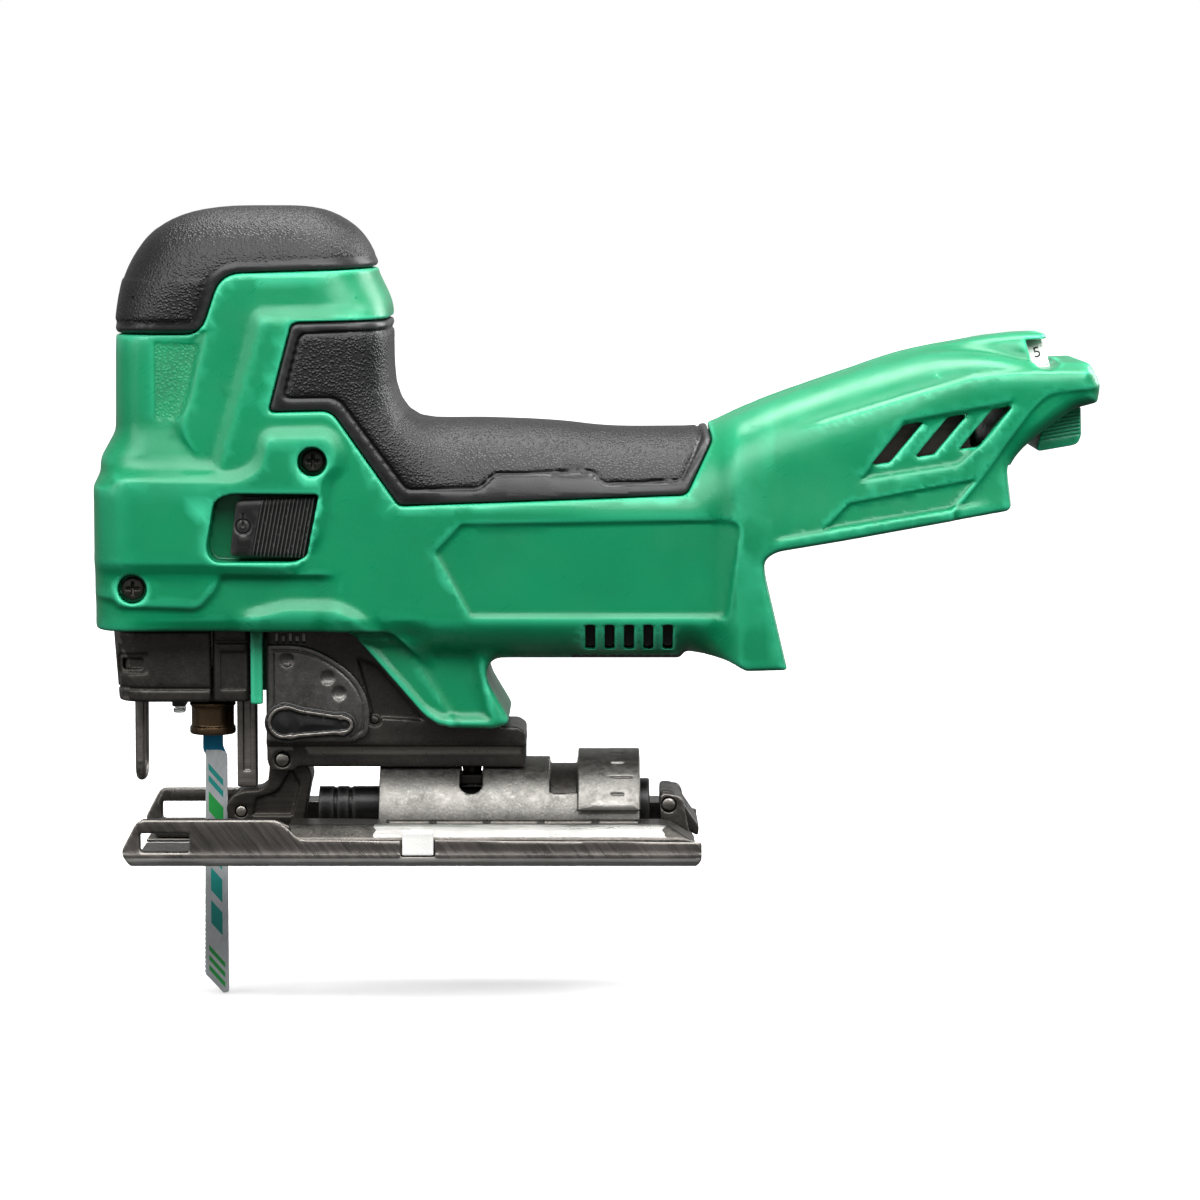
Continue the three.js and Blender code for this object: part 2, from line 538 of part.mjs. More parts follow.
const SELECTOR_IN = -BRACKET_HALF - 1.6 - GAP;
const SELECTOR_OUT = -19.2;
const selector = rod("y", 3, SELECTOR_IN - 1, BRACKET_HALF, SELECTOR_AT, 12)
  .add(rod("y", 5.8, SELECTOR_OUT, SELECTOR_IN, SELECTOR_AT, 20))
  .add(rod("y", 3.6, SELECTOR_OUT, SELECTOR_IN, [-20.4, 39.6], 14))
  .add(prismY([[-37.2, 34.7], [-19.8, 36.1], [-20.6, 43.2], [-38.6, 46]], SELECTOR_OUT, SELECTOR_IN));
piece("orbit_selector_lever", selector, BLACK);

// ------------------------------------------------ orbit linkage
const ARM_PLATE = [
  [-55.4, 8.4, 3], [-33.5, 8.6, 2], [-31.5, 19.5], [-30.6, 23], [-35.4, 32.6, 2], [-43, 32.6, 3], [-44, 21],
  [-46.5, 18.6], [-53, 18.4, 3], [-57, 14.5, 2],
];
const FORK_IN = 4;
const FORK_OUT = 7.9;
const rollerArm = prismY(ARM_PLATE, -FORK_OUT, FORK_OUT)
  .subtract(rod("y", 5.2, -FORK_IN, FORK_IN, ROLLER_AT, 16))
  .subtract(box(-70, ROLLER_AT[0], -FORK_IN, FORK_IN, 0, 15.6))
  .subtract(box(-70, -56.2, -2.2, 2.2, 0, 40))
  .subtract(rod("y", 2 + GAP, -LONG, LONG, ROLLER_PIVOT, 12))
  .subtract(rod("y", 1.6 + GAP, -LONG, LONG, ROLLER_AT, 12));
piece("roller_arm", rollerArm, DARK_STEEL);
piece("roller_arm_pin", rod("y", 2, -EAR_HALF - 0.6, EAR_HALF + 0.6, ROLLER_PIVOT, 12), STEEL);
piece("guide_roller", ring("y", 4.2, 1.6 + GAP, -3.6, 3.6, ROLLER_AT, 20), STEEL);
piece("guide_roller_pin", rod("y", 1.6, -FORK_OUT - 0.4, FORK_OUT + 0.4, ROLLER_AT, 12), STEEL);
piece("orbit_pusher", box(-53.6, -47.6, -2.6, 2.6, 18.9, 72), STEEL);

// ------------------------------------------------ base
const FLANGE_TOP = 13.8;
const STRIP_TOP = 7.9;
const sideWall = [
  [-82.6, 0], [84, 0, 1], [SOLE_HALF_LENGTH, 2], [SOLE_HALF_LENGTH, STRIP_TOP - 0.6, 0.5],
  [7, STRIP_TOP], [7, 3], [-3, 3], [-3, STRIP_TOP - 0.2], [-32.5, STRIP_TOP],
  [-39, FLANGE_TOP], [-80.3, FLANGE_TOP], [-SOLE_HALF_LENGTH, 4],
];
const FENCE_SLOT = slab(-79.6, -65.1, 4.4, 9.8, 0.6);
const forkCut = prismZ([[-100, -FORK_HALF], [-16, -FORK_HALF], [-16, FORK_HALF], [-100, FORK_HALF]], -5, 60);
const shoe = prismY(sideWall, -SOLE_HALF_WIDTH, -SOLE_HALF_WIDTH + SOLE_SHEET)
  .add(prismY(sideWall, SOLE_HALF_WIDTH - SOLE_SHEET, SOLE_HALF_WIDTH))
  .add(prismZ(slab(-82.6, 84, -SOLE_HALF_WIDTH + 0.4, SOLE_HALF_WIDTH - 0.4, 1), 0, SOLE_SHEET, 1))
  .subtract(forkCut)
  .subtract(prismY(FENCE_SLOT, -LONG, LONG, 2));
piece("sole_shoe", shoe, STEEL);

const CAST_HALF = SOLE_HALF_WIDTH - SOLE_SHEET - GAP;
const CAST_FLOOR = 3.8;
const CAST_TOP = 12; // low enough to pass under the bracket's saddle when the base tilts 45 degrees
const castSide = [
  [-80, SOLE_SHEET + GAP], [83.6, SOLE_SHEET + GAP], [83.6, 7], [75, CAST_TOP], [-36, CAST_TOP],
  [-40, FLANGE_TOP], [-79.4, FLANGE_TOP], [-81.5, 9.5],
];
// Cross section in Y and Z: low at the edges, rising to the half tube.
const castSection = [
  [-CAST_HALF, SOLE_SHEET + GAP], [CAST_HALF, SOLE_SHEET + GAP], [CAST_HALF, 8.2], [31, 9.9], [20, CAST_TOP],
  [-20, CAST_TOP], [-31, 9.9], [-CAST_HALF, 8.2],
];
const castFront = [
  [-CAST_HALF, SOLE_SHEET + GAP], [CAST_HALF, SOLE_SHEET + GAP], [CAST_HALF, FLANGE_TOP],
  [CAST_HALF - 3, FLANGE_TOP], [CAST_HALF - 3, CAST_FLOOR], [-CAST_HALF + 3, CAST_FLOOR],
  [-CAST_HALF + 3, FLANGE_TOP], [-CAST_HALF, FLANGE_TOP],
];
const saddleInside = rod("x", SADDLE_R + GAP, -12, 100, [0, TILT_AXIS_Z], 40);
const casting = prismY(castSide, -CAST_HALF, CAST_HALF)
  .intersect(prismX(castFront, -90, -36).add(prismX(castSection, -36 - 0.01, 90)))
  .subtract(box(-60, -12, -19, 19, CAST_FLOOR, 30))
  .subtract(saddleInside)
  .subtract(forkCut)
  .subtract(prismY(FENCE_SLOT, -LONG, LONG, 2));
const castFloor = box(-16, 83.6, -19.7, 19.7, SOLE_SHEET + GAP, CAST_FLOOR)
  .subtract(box(-100, -9, -FORK_HALF, FORK_HALF, -5, 20));
const LOCK_HALF = 12;
const lockEar = prismY([[73.6, 3], [83, 3], [80, 18, 2], [73.4, 19, 2]], LOCK_HALF + GAP, LOCK_HALF + 4)
  .subtract(rod("y", 2 + GAP, -LONG, LONG, LOCK_AT, 12));
piece("base_casting", joined([casting, castFloor, lockEar, lockEar.mirror([0, 1, 0])]), CAST);

// Half tube that carries the bracket's saddle, with its clamp slot and a stop notch.
const TUBE_FRONT = -10.4;
const TUBE_REAR = 67.4;
const TUBE_WALL = 3.4;
const BOLT_AT = [17, 0];
function arcSlot(from, to, reach) {
  const side = LONG * Math.sin(rad(reach));
  const up = TILT_AXIS_Z + LONG * Math.cos(rad(reach));
  return prismX([[0, TILT_AXIS_Z], [side, up], [-side, up]], from, to);
}
const tube = ring("x", SADDLE_R, SADDLE_R - TUBE_WALL, TUBE_FRONT, TUBE_REAR, [0, TILT_AXIS_Z], 40)
  .add(ring("x", SADDLE_R + 2.4, SADDLE_R - 1, 48.9, TUBE_REAR, [0, TILT_AXIS_Z], 40))
  .intersect(box(-20, 90, -LONG, LONG, CAST_FLOOR + GAP, 60))
  .subtract(box(48, 90, -LONG, LONG, 0, 14.4).subtract(rod("x", SADDLE_R, 40, 100, [0, TILT_AXIS_Z], 40)))
  .subtract(arcSlot(BOLT_AT[0] - 3.4, BOLT_AT[0] + 3.4, 58))
  .subtract(arcSlot(40.6, 48.7, 56).subtract(rod("x", SADDLE_R - 1.2, 30, 60, [0, TILT_AXIS_Z], 40)));
piece("base_half_tube", tube, CAST);

const clampBolt = rod("z", 3, 21, 42, BOLT_AT, 12)
  .add(box(BOLT_AT[0] - 5, BOLT_AT[0] + 5, -5, 5, 19.9, 23.2));
piece("base_clamp_bolt", clampBolt, DARK_STEEL);

const DUCT_Z = 13.4;
const duct = ring("x", 5.6, 4.2, -29, 69, [0, DUCT_Z], 16)
  .add(ring("x", 8, 4.2, 65, 70.4, [0, DUCT_Z], 16));
piece("dust_duct", duct, BLACK);

for (const [side, sign] of [["left", -1], ["right", 1]]) {
  const clip = box(-2.6, 6.6, SOLE_HALF_WIDTH - SOLE_SHEET, SOLE_HALF_WIDTH - 0.1, 3.3, 9.8)
    .add(box(-2.6, 6.6, SOLE_HALF_WIDTH - 3.1, SOLE_HALF_WIDTH - 0.1, 9.2, 10.6));
  piece("shoe_clip_" + side, sign > 0 ? clip : clip.mirror([0, 1, 0]), BRIGHT);
}

// Base lock lever at the rear, on a crosswise pin held by two ears.
piece("lock_lever_pin", rod("y", 2, -LOCK_HALF - 5, LOCK_HALF + 5, LOCK_AT, 12), STEEL);
const LOCK_SIDE = [
  [73.4, 12.4], [80, 8.2], [84.8, 5.4], [85.2, 8.4], [80.4, 15.4], [77.5, 19.2, 1], [73.4, 19.2, 1],
];
const lockLever = prismY(LOCK_SIDE, -LOCK_HALF, LOCK_HALF)
  .subtract(rod("y", 2 + GAP, -LONG, LONG, LOCK_AT, 12));
piece("base_lock_lever", lockLever, BLACK);

// ------------------------------------------------ electrics in the arm
piece("controller_module", railFrame(box(12, 62, -24, 24, CHANNEL_TOP + 4, 30)), DARK_STEEL);
const holderBody = railFrame(box(6, 30, -25, 25, 4, CHANNEL_TOP - GAP)
  .subtract(box(12, 40, -22, 22, 3, 9)));
piece("terminal_holder", holderBody, BLACK);
[-16, 0, 16].forEach((y, i) => {
  piece("battery_terminal_" + (i + 1), railFrame(box(13, 27, y - 0.4, y + 0.4, 3.4, 9 - GAP)), COPPER);
});
const dialBody = rod("x", 9.5, DIAL_AT[0] - 3.6, DIAL_AT[0] + 3.6, [0, DIAL_AT[1]], 20);
piece("speed_dial", raise(dialBody, DIAL_TILT, DIAL_AT), WHITE);
const LATCH_SIDE = [
  [183.4, 119.4], [197.4, 121.9, 1], [198.2, 124], [197.6, 134], [194.8, 133.3], [186.2, 128],
];
const latchGroove = (i) => box(187.4 + 2.6 * i, 188.5 + 2.6 * i, -LONG, LONG, 110, 122.8);
const latch = prismY(LATCH_SIDE, -20, 20).subtract(joined([0, 1, 2, 3].map(latchGroove)));
piece("latch_block", latch, GREEN);

export default jigsaw;
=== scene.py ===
"""Looks of a cordless barrel-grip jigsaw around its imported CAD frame.

Shapes are worked out in mm as signed distance fields (negative inside) and meshed in metres.
+X runs from the blade to the battery end, the viewer's side is -Y (the tool's left), +Z is up.
"""
import json
import math

import bmesh
import bpy
import numpy as np
import openvdb
from mathutils import Matrix, Vector


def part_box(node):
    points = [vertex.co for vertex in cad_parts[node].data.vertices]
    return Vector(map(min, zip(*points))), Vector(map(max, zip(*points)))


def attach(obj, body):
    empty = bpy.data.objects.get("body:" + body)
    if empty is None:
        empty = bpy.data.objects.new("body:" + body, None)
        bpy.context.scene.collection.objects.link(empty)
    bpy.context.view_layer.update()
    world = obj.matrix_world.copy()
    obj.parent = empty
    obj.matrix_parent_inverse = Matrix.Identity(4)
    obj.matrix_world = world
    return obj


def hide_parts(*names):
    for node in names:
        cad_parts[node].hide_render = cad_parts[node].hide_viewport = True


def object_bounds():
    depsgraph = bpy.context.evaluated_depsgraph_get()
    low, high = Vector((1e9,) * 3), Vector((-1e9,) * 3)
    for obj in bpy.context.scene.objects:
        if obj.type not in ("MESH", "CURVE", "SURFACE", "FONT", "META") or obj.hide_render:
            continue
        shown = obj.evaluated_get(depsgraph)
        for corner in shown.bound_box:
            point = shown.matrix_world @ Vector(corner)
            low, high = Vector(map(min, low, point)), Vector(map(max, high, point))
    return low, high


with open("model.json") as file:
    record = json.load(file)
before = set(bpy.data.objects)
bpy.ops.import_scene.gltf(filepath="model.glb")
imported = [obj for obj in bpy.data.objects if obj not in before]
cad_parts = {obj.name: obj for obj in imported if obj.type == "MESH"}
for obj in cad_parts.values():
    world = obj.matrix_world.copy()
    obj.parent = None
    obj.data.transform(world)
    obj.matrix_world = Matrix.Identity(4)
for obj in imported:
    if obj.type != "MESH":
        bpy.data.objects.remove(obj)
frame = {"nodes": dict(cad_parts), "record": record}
CAD_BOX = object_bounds()
NODES = frame["nodes"]
BODY_OF = {node: body for body, nodes in frame["record"]["behaviour"]["bodies"].items() for node in nodes}
MM = 0.001
SIDES = {"left": -1, "right": 1}
COARSE = 1.0


# ---- outlines and distance fields
NEAR_HALF = 0.48  # the most of a side that a rounded corner may take


def polyline(corners, closed=True, steps=6):
    """Points along an outline of (u, v) or (u, v, r) corners; r is the room a rounded corner takes."""
    pts = []
    last = len(corners) - 1
    for i, c in enumerate(corners):
        here = np.array(c[:2], float)
        r = c[2] if len(c) > 2 else 0
        if r == 0 or (not closed and i in (0, last)):
            pts.append(here)
            continue
        back = np.array(corners[i - 1][:2], float) - here
        ahead = np.array(corners[0 if i == last else i + 1][:2], float) - here
        lb, la = np.linalg.norm(back), np.linalg.norm(ahead)
        a = here + back / lb * min(r, NEAR_HALF * lb)
        b = here + ahead / la * min(r, NEAR_HALF * la)
        for t in np.linspace(0, 1, steps):
            pts.append((1 - t) ** 2 * a + 2 * t * (1 - t) * here + t * t * b)
    return np.array(pts)


def poly_distance(u, v, corners, closed=True):
    """Distance to an outline over a grid, negative inside a closed one."""
    pts = polyline(corners, closed)
    best = np.full(np.broadcast(u, v).shape, 1e9, np.float32)
    inside = np.zeros(best.shape, bool)
    for i in range(len(pts) if closed else len(pts) - 1):
        (au, av), (bu, bv) = pts[i], pts[(i + 1) % len(pts)]
        du, dv = bu - au, bv - av
        t = np.clip(((u - au) * du + (v - av) * dv) / (du * du + dv * dv + 1e-12), 0, 1)
        best = np.minimum(best, (u - au - t * du) ** 2 + (v - av - t * dv) ** 2)
        if closed and av != bv:
            inside ^= ((av > v) != (bv > v)) & (u < (bu - au) * (v - av) / (bv - av) + au)
    best = np.sqrt(best)
    return np.where(inside, -best, best) if closed else best


def ease(t):
    t = np.clip(t, 0, 1)
    return t * t * (3 - 2 * t)


def mix(a, b, share):
    return a + (b - a) * share


def span(value, low, high):
    """Negative between two bounds."""
    return np.maximum(low - value, value - high)


def step_in(distance, width, soft=0.14):
    """A straight ramp from 0 on an outline to 1 at that width inside it, with softened ends."""
    t = np.clip(-distance / width, -soft, 1 + soft)
    t = np.where(t < soft, (t + soft) ** 2 / (4 * soft), t)
    return np.where(t > 1 - soft, 1 - (1 + soft - t) ** 2 / (4 * soft), t)


def union(*fields, k=0.0):
    """The join of shapes, with a fillet of about k where they meet."""
    made = fields[0]
    for other in fields[1:]:
        if k:
            h = np.clip(0.5 + 0.5 * (other - made) / k, 0, 1)
            made = other + (made - other) * h - k * h * (1 - h)
        else:
            made = np.minimum(made, other)
    return made


def both(*fields, k=0.0):
    """What is inside every shape, with edges rounded by about k."""
    return -union(*[-f for f in fields], k=k)


def cut(field, *tools, k=0.0):
    for tool in tools:
        field = both(field, -tool, k=k)
    return field


def slab(u0, u1, v0, v1, r=0.0):
    return [(u0, v0, r), (u1, v0, r), (u1, v1, r), (u0, v1, r)]


MARGIN_CELLS = 2.5  # empty cells kept round a grid's box


class Grid:
    """Sample points of a box, in mm. x, y and z broadcast against each other."""

    def __init__(self, low, high, cell):
        self.cell = cell * COARSE
        margin = MARGIN_CELLS * self.cell
        self.low = np.array(low, float) - margin
        counts = np.ceil((np.array(high, float) + margin - self.low) / self.cell).astype(int) + 1
        x, y, z = [(self.low[i] + self.cell * np.arange(counts[i])).astype(np.float32) for i in range(3)]
        self.x, self.y, self.z = x[:, None, None], y[None, :, None], z[None, None, :]
        self.shape = tuple(counts)

    def planes(self, axis):
        return {
            "x": (self.y, self.z, self.x), "y": (self.x, self.z, self.y), "z": (self.x, self.y, self.z),
        }[axis]

    def prism(self, axis, corners, start=None, end=None, k=0.0):
        """An outline in the other two axes, extruded along this one."""
        u, v, along = self.planes(axis)
        d = poly_distance(u, v, corners)
        return d if start is None else both(d, span(along, start, end), k=k)

    def side(self, corners):
        """Distance to an outline in X and Z."""
        return self.prism("y", corners)

    def rod(self, axis, r, start, end, centre, k=0.0):
        u, v, along = self.planes(axis)
        d = np.hypot(u - centre[0], v - centre[1]) - r
        return both(d, span(along, start, end), k=k)

    def from_line(self, centre):
        """Distance from a line along Y through an (x, z) place."""
        return np.hypot(self.x - centre[0], self.z - centre[1])

    def tilted(self, centre, degrees):
        """Coordinates along and across a direction tilted up from +X, from an (x, z) place."""
        c, s = math.cos(math.radians(degrees)), math.sin(math.radians(degrees))
        dx, dz = self.x - centre[0], self.z - centre[1]
        return dx * c + dz * s, -dx * s + dz * c

    def box(self, x0, x1, y0, y1, z0, z1, k=0.0):
        return both(span(self.x, x0, x1), span(self.y, y0, y1), span(self.z, z0, z1), k=k)

    def wire(self, axis, corners, r, at):
        """A round wire along an open line in the plane across an axis."""
        u, v, across = self.planes(axis)
        return np.hypot(poly_distance(u, v, corners, closed=False), across - at) - r


FLAT_SHARE = 0.012  # how readily the mesher joins faces on a nearly flat stretch
BAND_CELLS = 3  # how far from the surface the field is kept


def mesh_of(name, grid, field):
    """The surface where a field is zero, as an object at the origin, in metres."""
    band = BAND_CELLS * grid.cell
    values = np.clip(np.broadcast_to(field, grid.shape), -band, band).astype(np.float32)
    for face in (0, -1):
        values[face] = values[:, face] = values[:, :, face] = band
    volume = openvdb.FloatGrid(band)
    volume.copyFromArray(np.ascontiguousarray(values))
    points, triangles, quads = volume.convertToPolygons(isovalue=0.0, adaptivity=FLAT_SHARE)
    points = ((points * grid.cell + grid.low) * MM).astype(np.float32)
    loops = np.concatenate([triangles.ravel(), quads.ravel()]).astype(np.int32)
    sizes = np.concatenate([np.full(len(triangles), 3), np.full(len(quads), 4)])
    mesh = bpy.data.meshes.new(name)
    mesh.vertices.add(len(points))
    mesh.vertices.foreach_set("co", points.ravel())
    mesh.loops.add(len(loops))
    mesh.loops.foreach_set("vertex_index", loops)
    mesh.polygons.add(len(sizes))
    mesh.polygons.foreach_set("loop_start", (np.cumsum(sizes) - sizes).astype(np.int32))
    mesh.update(calc_edges=True)
    mesh.validate()
    mesh.shade_smooth()
    obj = bpy.data.objects.new(name, mesh)
    bpy.context.scene.collection.objects.link(obj)
    return obj


# ---- materials
def linear(red, green, blue):
    """A colour from its 0 to 255 display values."""
    return tuple((c / 255) ** 2.2 for c in (red, green, blue)) + (1.0,)


def shade(colour, factor):
    return tuple(min(1.0, c * factor) for c in colour[:3]) + (1.0,)


RANGE = ("From Min", "From Max", "To Min", "To Max")


class Look:
    """A procedural material that reads the piece's own coordinates, in mm."""

    def __init__(self, name, colour, roughness, metallic=0.0, **sockets):
        self.material = bpy.data.materials.new(name)
        self.material.use_nodes = True
        self.nodes = self.material.node_tree.nodes
        self.links = self.material.node_tree.links
        self.shader = self.nodes["Principled BSDF"]
        self.shader.inputs["Metallic"].default_value = metallic
        for socket, value in sockets.items():
            self.shader.inputs[socket.replace("_", " ")].default_value = value
        coordinates = self.nodes.new("ShaderNodeTexCoord").outputs["Object"]
        self.mm = self.mapped(coordinates, (1000, 1000, 1000))
        self.colour = colour
        self.roughness = roughness
        self.height = None

    def feed(self, socket, value):
        """Sets a socket to a constant, or links it to another node's output."""
        if isinstance(value, bpy.types.NodeSocket):
            self.links.new(value, socket)
        else:
            socket.default_value = value

    def mapped(self, source, scale, turn=(0, 0, 0)):
        node = self.nodes.new("ShaderNodeMapping")
        node.inputs["Scale"].default_value = scale
        node.inputs["Rotation"].default_value = [math.radians(a) for a in turn]
        self.links.new(source, node.inputs["Vector"])
        return node.outputs["Vector"]

    def noise(self, scale, detail=3.0, stretch=(1, 1, 1), turn=(0, 0, 0), sharp=0.55):
        node = self.nodes.new("ShaderNodeTexNoise")
        node.inputs["Scale"].default_value = scale
        node.inputs["Detail"].default_value = detail
        node.inputs["Roughness"].default_value = sharp
        source = self.mapped(self.mm, (1, 1, 1), turn) if any(turn) else self.mm
        source = self.mapped(source, stretch) if stretch != (1, 1, 1) else source
        self.links.new(source, node.inputs["Vector"])
        return node.outputs["Fac"]

    def cells(self, scale):
        node = self.nodes.new("ShaderNodeTexVoronoi")
        node.inputs["Scale"].default_value = scale
        self.links.new(self.mm, node.inputs["Vector"])
        return node.outputs["Distance"]

    def edges(self):
        """0.5 on a flat, more on an edge and less in a crease."""
        return self.nodes.new("ShaderNodeNewGeometry").outputs["Pointiness"]

    def grade(self, value, low, high, to_low=0.0, to_high=1.0):
        node = self.nodes.new("ShaderNodeMapRange")
        for socket, number in zip(RANGE, (low, high, to_low, to_high)):
            node.inputs[socket].default_value = number
        self.links.new(value, node.inputs["Value"])
        return node.outputs["Result"]

    def maths(self, operation, a, b):
        node = self.nodes.new("ShaderNodeMath")
        node.operation = operation
        self.feed(node.inputs[0], a)
        self.feed(node.inputs[1], b)
        return node.outputs["Value"]

    def tint(self, share, colour):
        """Lays a colour over the present one where share is high."""
        node = self.nodes.new("ShaderNodeMix")
        node.data_type = "RGBA"
        self.links.new(share, node.inputs["Factor"])
        self.feed(node.inputs[6], self.colour)
        self.feed(node.inputs[7], colour)
        self.colour = node.outputs[2]

    def roughen(self, value):
        """Adds to the roughness."""
        self.roughness = self.maths("ADD", self.roughness, value)

    def raise_by(self, value, weight):
        lifted = self.maths("MULTIPLY", value, weight)
        self.height = lifted if self.height is None else self.maths("ADD", self.height, lifted)

    def done(self, depth_mm=0.1):
        self.feed(self.shader.inputs["Base Color"], self.colour)
        self.feed(self.shader.inputs["Roughness"], self.roughness)
        if self.height is not None:
            bump = self.nodes.new("ShaderNodeBump")
            bump.inputs["Distance"].default_value = depth_mm * MM
            self.links.new(self.height, bump.inputs["Height"])
            self.links.new(bump.outputs["Normal"], self.shader.inputs["Normal"])
        return self.material


def moulded(name, colour, roughness, grain=2.2, depth=0.05, edge_wear_and_highlight=None, **sockets):
    """Spark-eroded moulded plastic or rubber: a fine grain and faint flow marks, with edges lightened as
    rubbed wear and painted highlight, and creases darkened as painted shade.
    """
    look = Look(name, colour, roughness, **sockets)
    look.tint(look.grade(look.noise(0.035, 2), 0.35, 0.7), shade(colour, 0.86))
    look.tint(look.grade(look.noise(1.7, 2), 0.45, 0.75, 0, 0.35), shade(colour, 1.18))
    # Edges lightened: rubbed wear and painted highlight.
    look.tint(look.grade(look.edges(), 0.505, 0.545, 0, 0.6), edge_wear_and_highlight or shade(colour, 1.6))
    # Creases darkened: painted shade.
    look.tint(look.grade(look.edges(), 0.495, 0.45, 0, 0.65), shade(colour, 0.4))
    look.roughen(look.grade(look.noise(0.08, 3), 0.3, 0.7, -0.05, 0.07))
    look.roughen(look.grade(look.noise(0.9, 2, (0.12, 1, 1), (0, 35, 0)), 0.62, 0.75, 0, -0.08))
    look.raise_by(look.noise(grain, 2), 1.0)
    return look.done(depth)


def stippled(name, colour, roughness, pitch=1.1, depth=0.22, **sockets):
    """Grip rubber with a close field of small bumps, darkened between them as painted shade, with edges
    lightened as painted highlight.
    """
    look = Look(name, colour, roughness, **sockets)
    bumps = look.cells(1 / pitch)
    # Darker between the bumps: painted shade in the low ground.
    look.tint(look.grade(bumps, 0.2, 0.6, 0, 0.7), shade(colour, 0.6))
    look.tint(look.grade(look.noise(0.05, 2), 0.4, 0.7, 0, 0.5), shade(colour, 1.35))
    # Edges lightened: painted highlight.
    look.tint(look.grade(look.edges(), 0.52, 0.6, 0, 0.4), shade(colour, 2.0))
    look.roughen(look.grade(bumps, 0.1, 0.6, -0.1, 0.12))
    look.raise_by(look.grade(bumps, 0.0, 0.6, 1, 0), 1.0)
    look.raise_by(look.noise(3, 2), 0.25)
    return look.done(depth)


def cast_metal(name, colour, roughness, metallic, grain=0.9, depth=0.12, bright=None):
    """Sand-cast or painted metal: pitted skin, with edges lightened as bare metal and painted highlight,
    and creases darkened as painted shade.
    """
    look = Look(name, colour, roughness, metallic)
    look.tint(look.grade(look.noise(0.09, 4), 0.35, 0.7), shade(colour, 0.62))
    look.tint(look.grade(look.noise(1.3, 3), 0.5, 0.72, 0, 0.5), shade(colour, 1.4))
    # Edges lightened: bare metal and painted highlight.
    look.tint(look.grade(look.edges(), 0.53, 0.62, 0, 0.75), bright or shade(colour, 2.2))
    # Creases darkened: painted shade.
    look.tint(look.grade(look.edges(), 0.48, 0.4, 0, 0.7), shade(colour, 0.35))
    look.roughen(look.grade(look.noise(0.5, 4), 0.3, 0.7, -0.1, 0.12))
    look.raise_by(look.noise(grain, 4, sharp=0.65), 1.0)
    look.raise_by(look.grade(look.cells(0.7), 0.0, 0.35, -1, 0), 0.35)
    return look.done(depth)


def brushed(
        name, colour, roughness, stretch=(0.03, 1, 1), turn=(0, 0, 0), metallic=1.0, depth=0.02,
        mottle=0.7):
    """Ground or drawn metal: fine parallel scratches and stains, with edges lightened as painted highlight
    and creases darkened as painted shade.
    """
    look = Look(name, colour, roughness, metallic)
    fine = look.noise(3.2, 3, stretch, turn, 0.7)
    coarse = look.noise(0.9, 2, stretch, turn)
    look.tint(look.grade(fine, 0.42, 0.62, 0, 0.5), shade(colour, 1.45))
    look.tint(look.grade(look.noise(0.06, 4), 0.4, 0.72), shade(colour, mottle))
    # Edges lightened: painted highlight.
    look.tint(look.grade(look.edges(), 0.53, 0.62, 0, 0.8), shade(colour, 2.4))
    # Creases darkened: painted shade.
    look.tint(look.grade(look.edges(), 0.48, 0.4, 0, 0.6), shade(colour, 0.4))
    look.roughen(look.grade(coarse, 0.35, 0.65, -0.08, 0.1))
    look.roughen(look.grade(look.noise(0.07, 3), 0.4, 0.7, 0, 0.12))
    look.raise_by(fine, 1.0)
    look.raise_by(coarse, 0.8)
    return look.done(depth)


def clear_lens():
    look = Look("lens", (0.9, 0.92, 0.9, 1), 0.08, Transmission_Weight=0.7, IOR=1.49)
    look.tint(look.grade(look.noise(0.4, 2), 0.4, 0.7, 0, 0.4), (0.75, 0.8, 0.78, 1))
    look.roughen(look.grade(look.noise(1.2, 2), 0.4, 0.7, 0, 0.08))
    look.raise_by(look.cells(0.8), 1.0)
    return look.done(0.05)


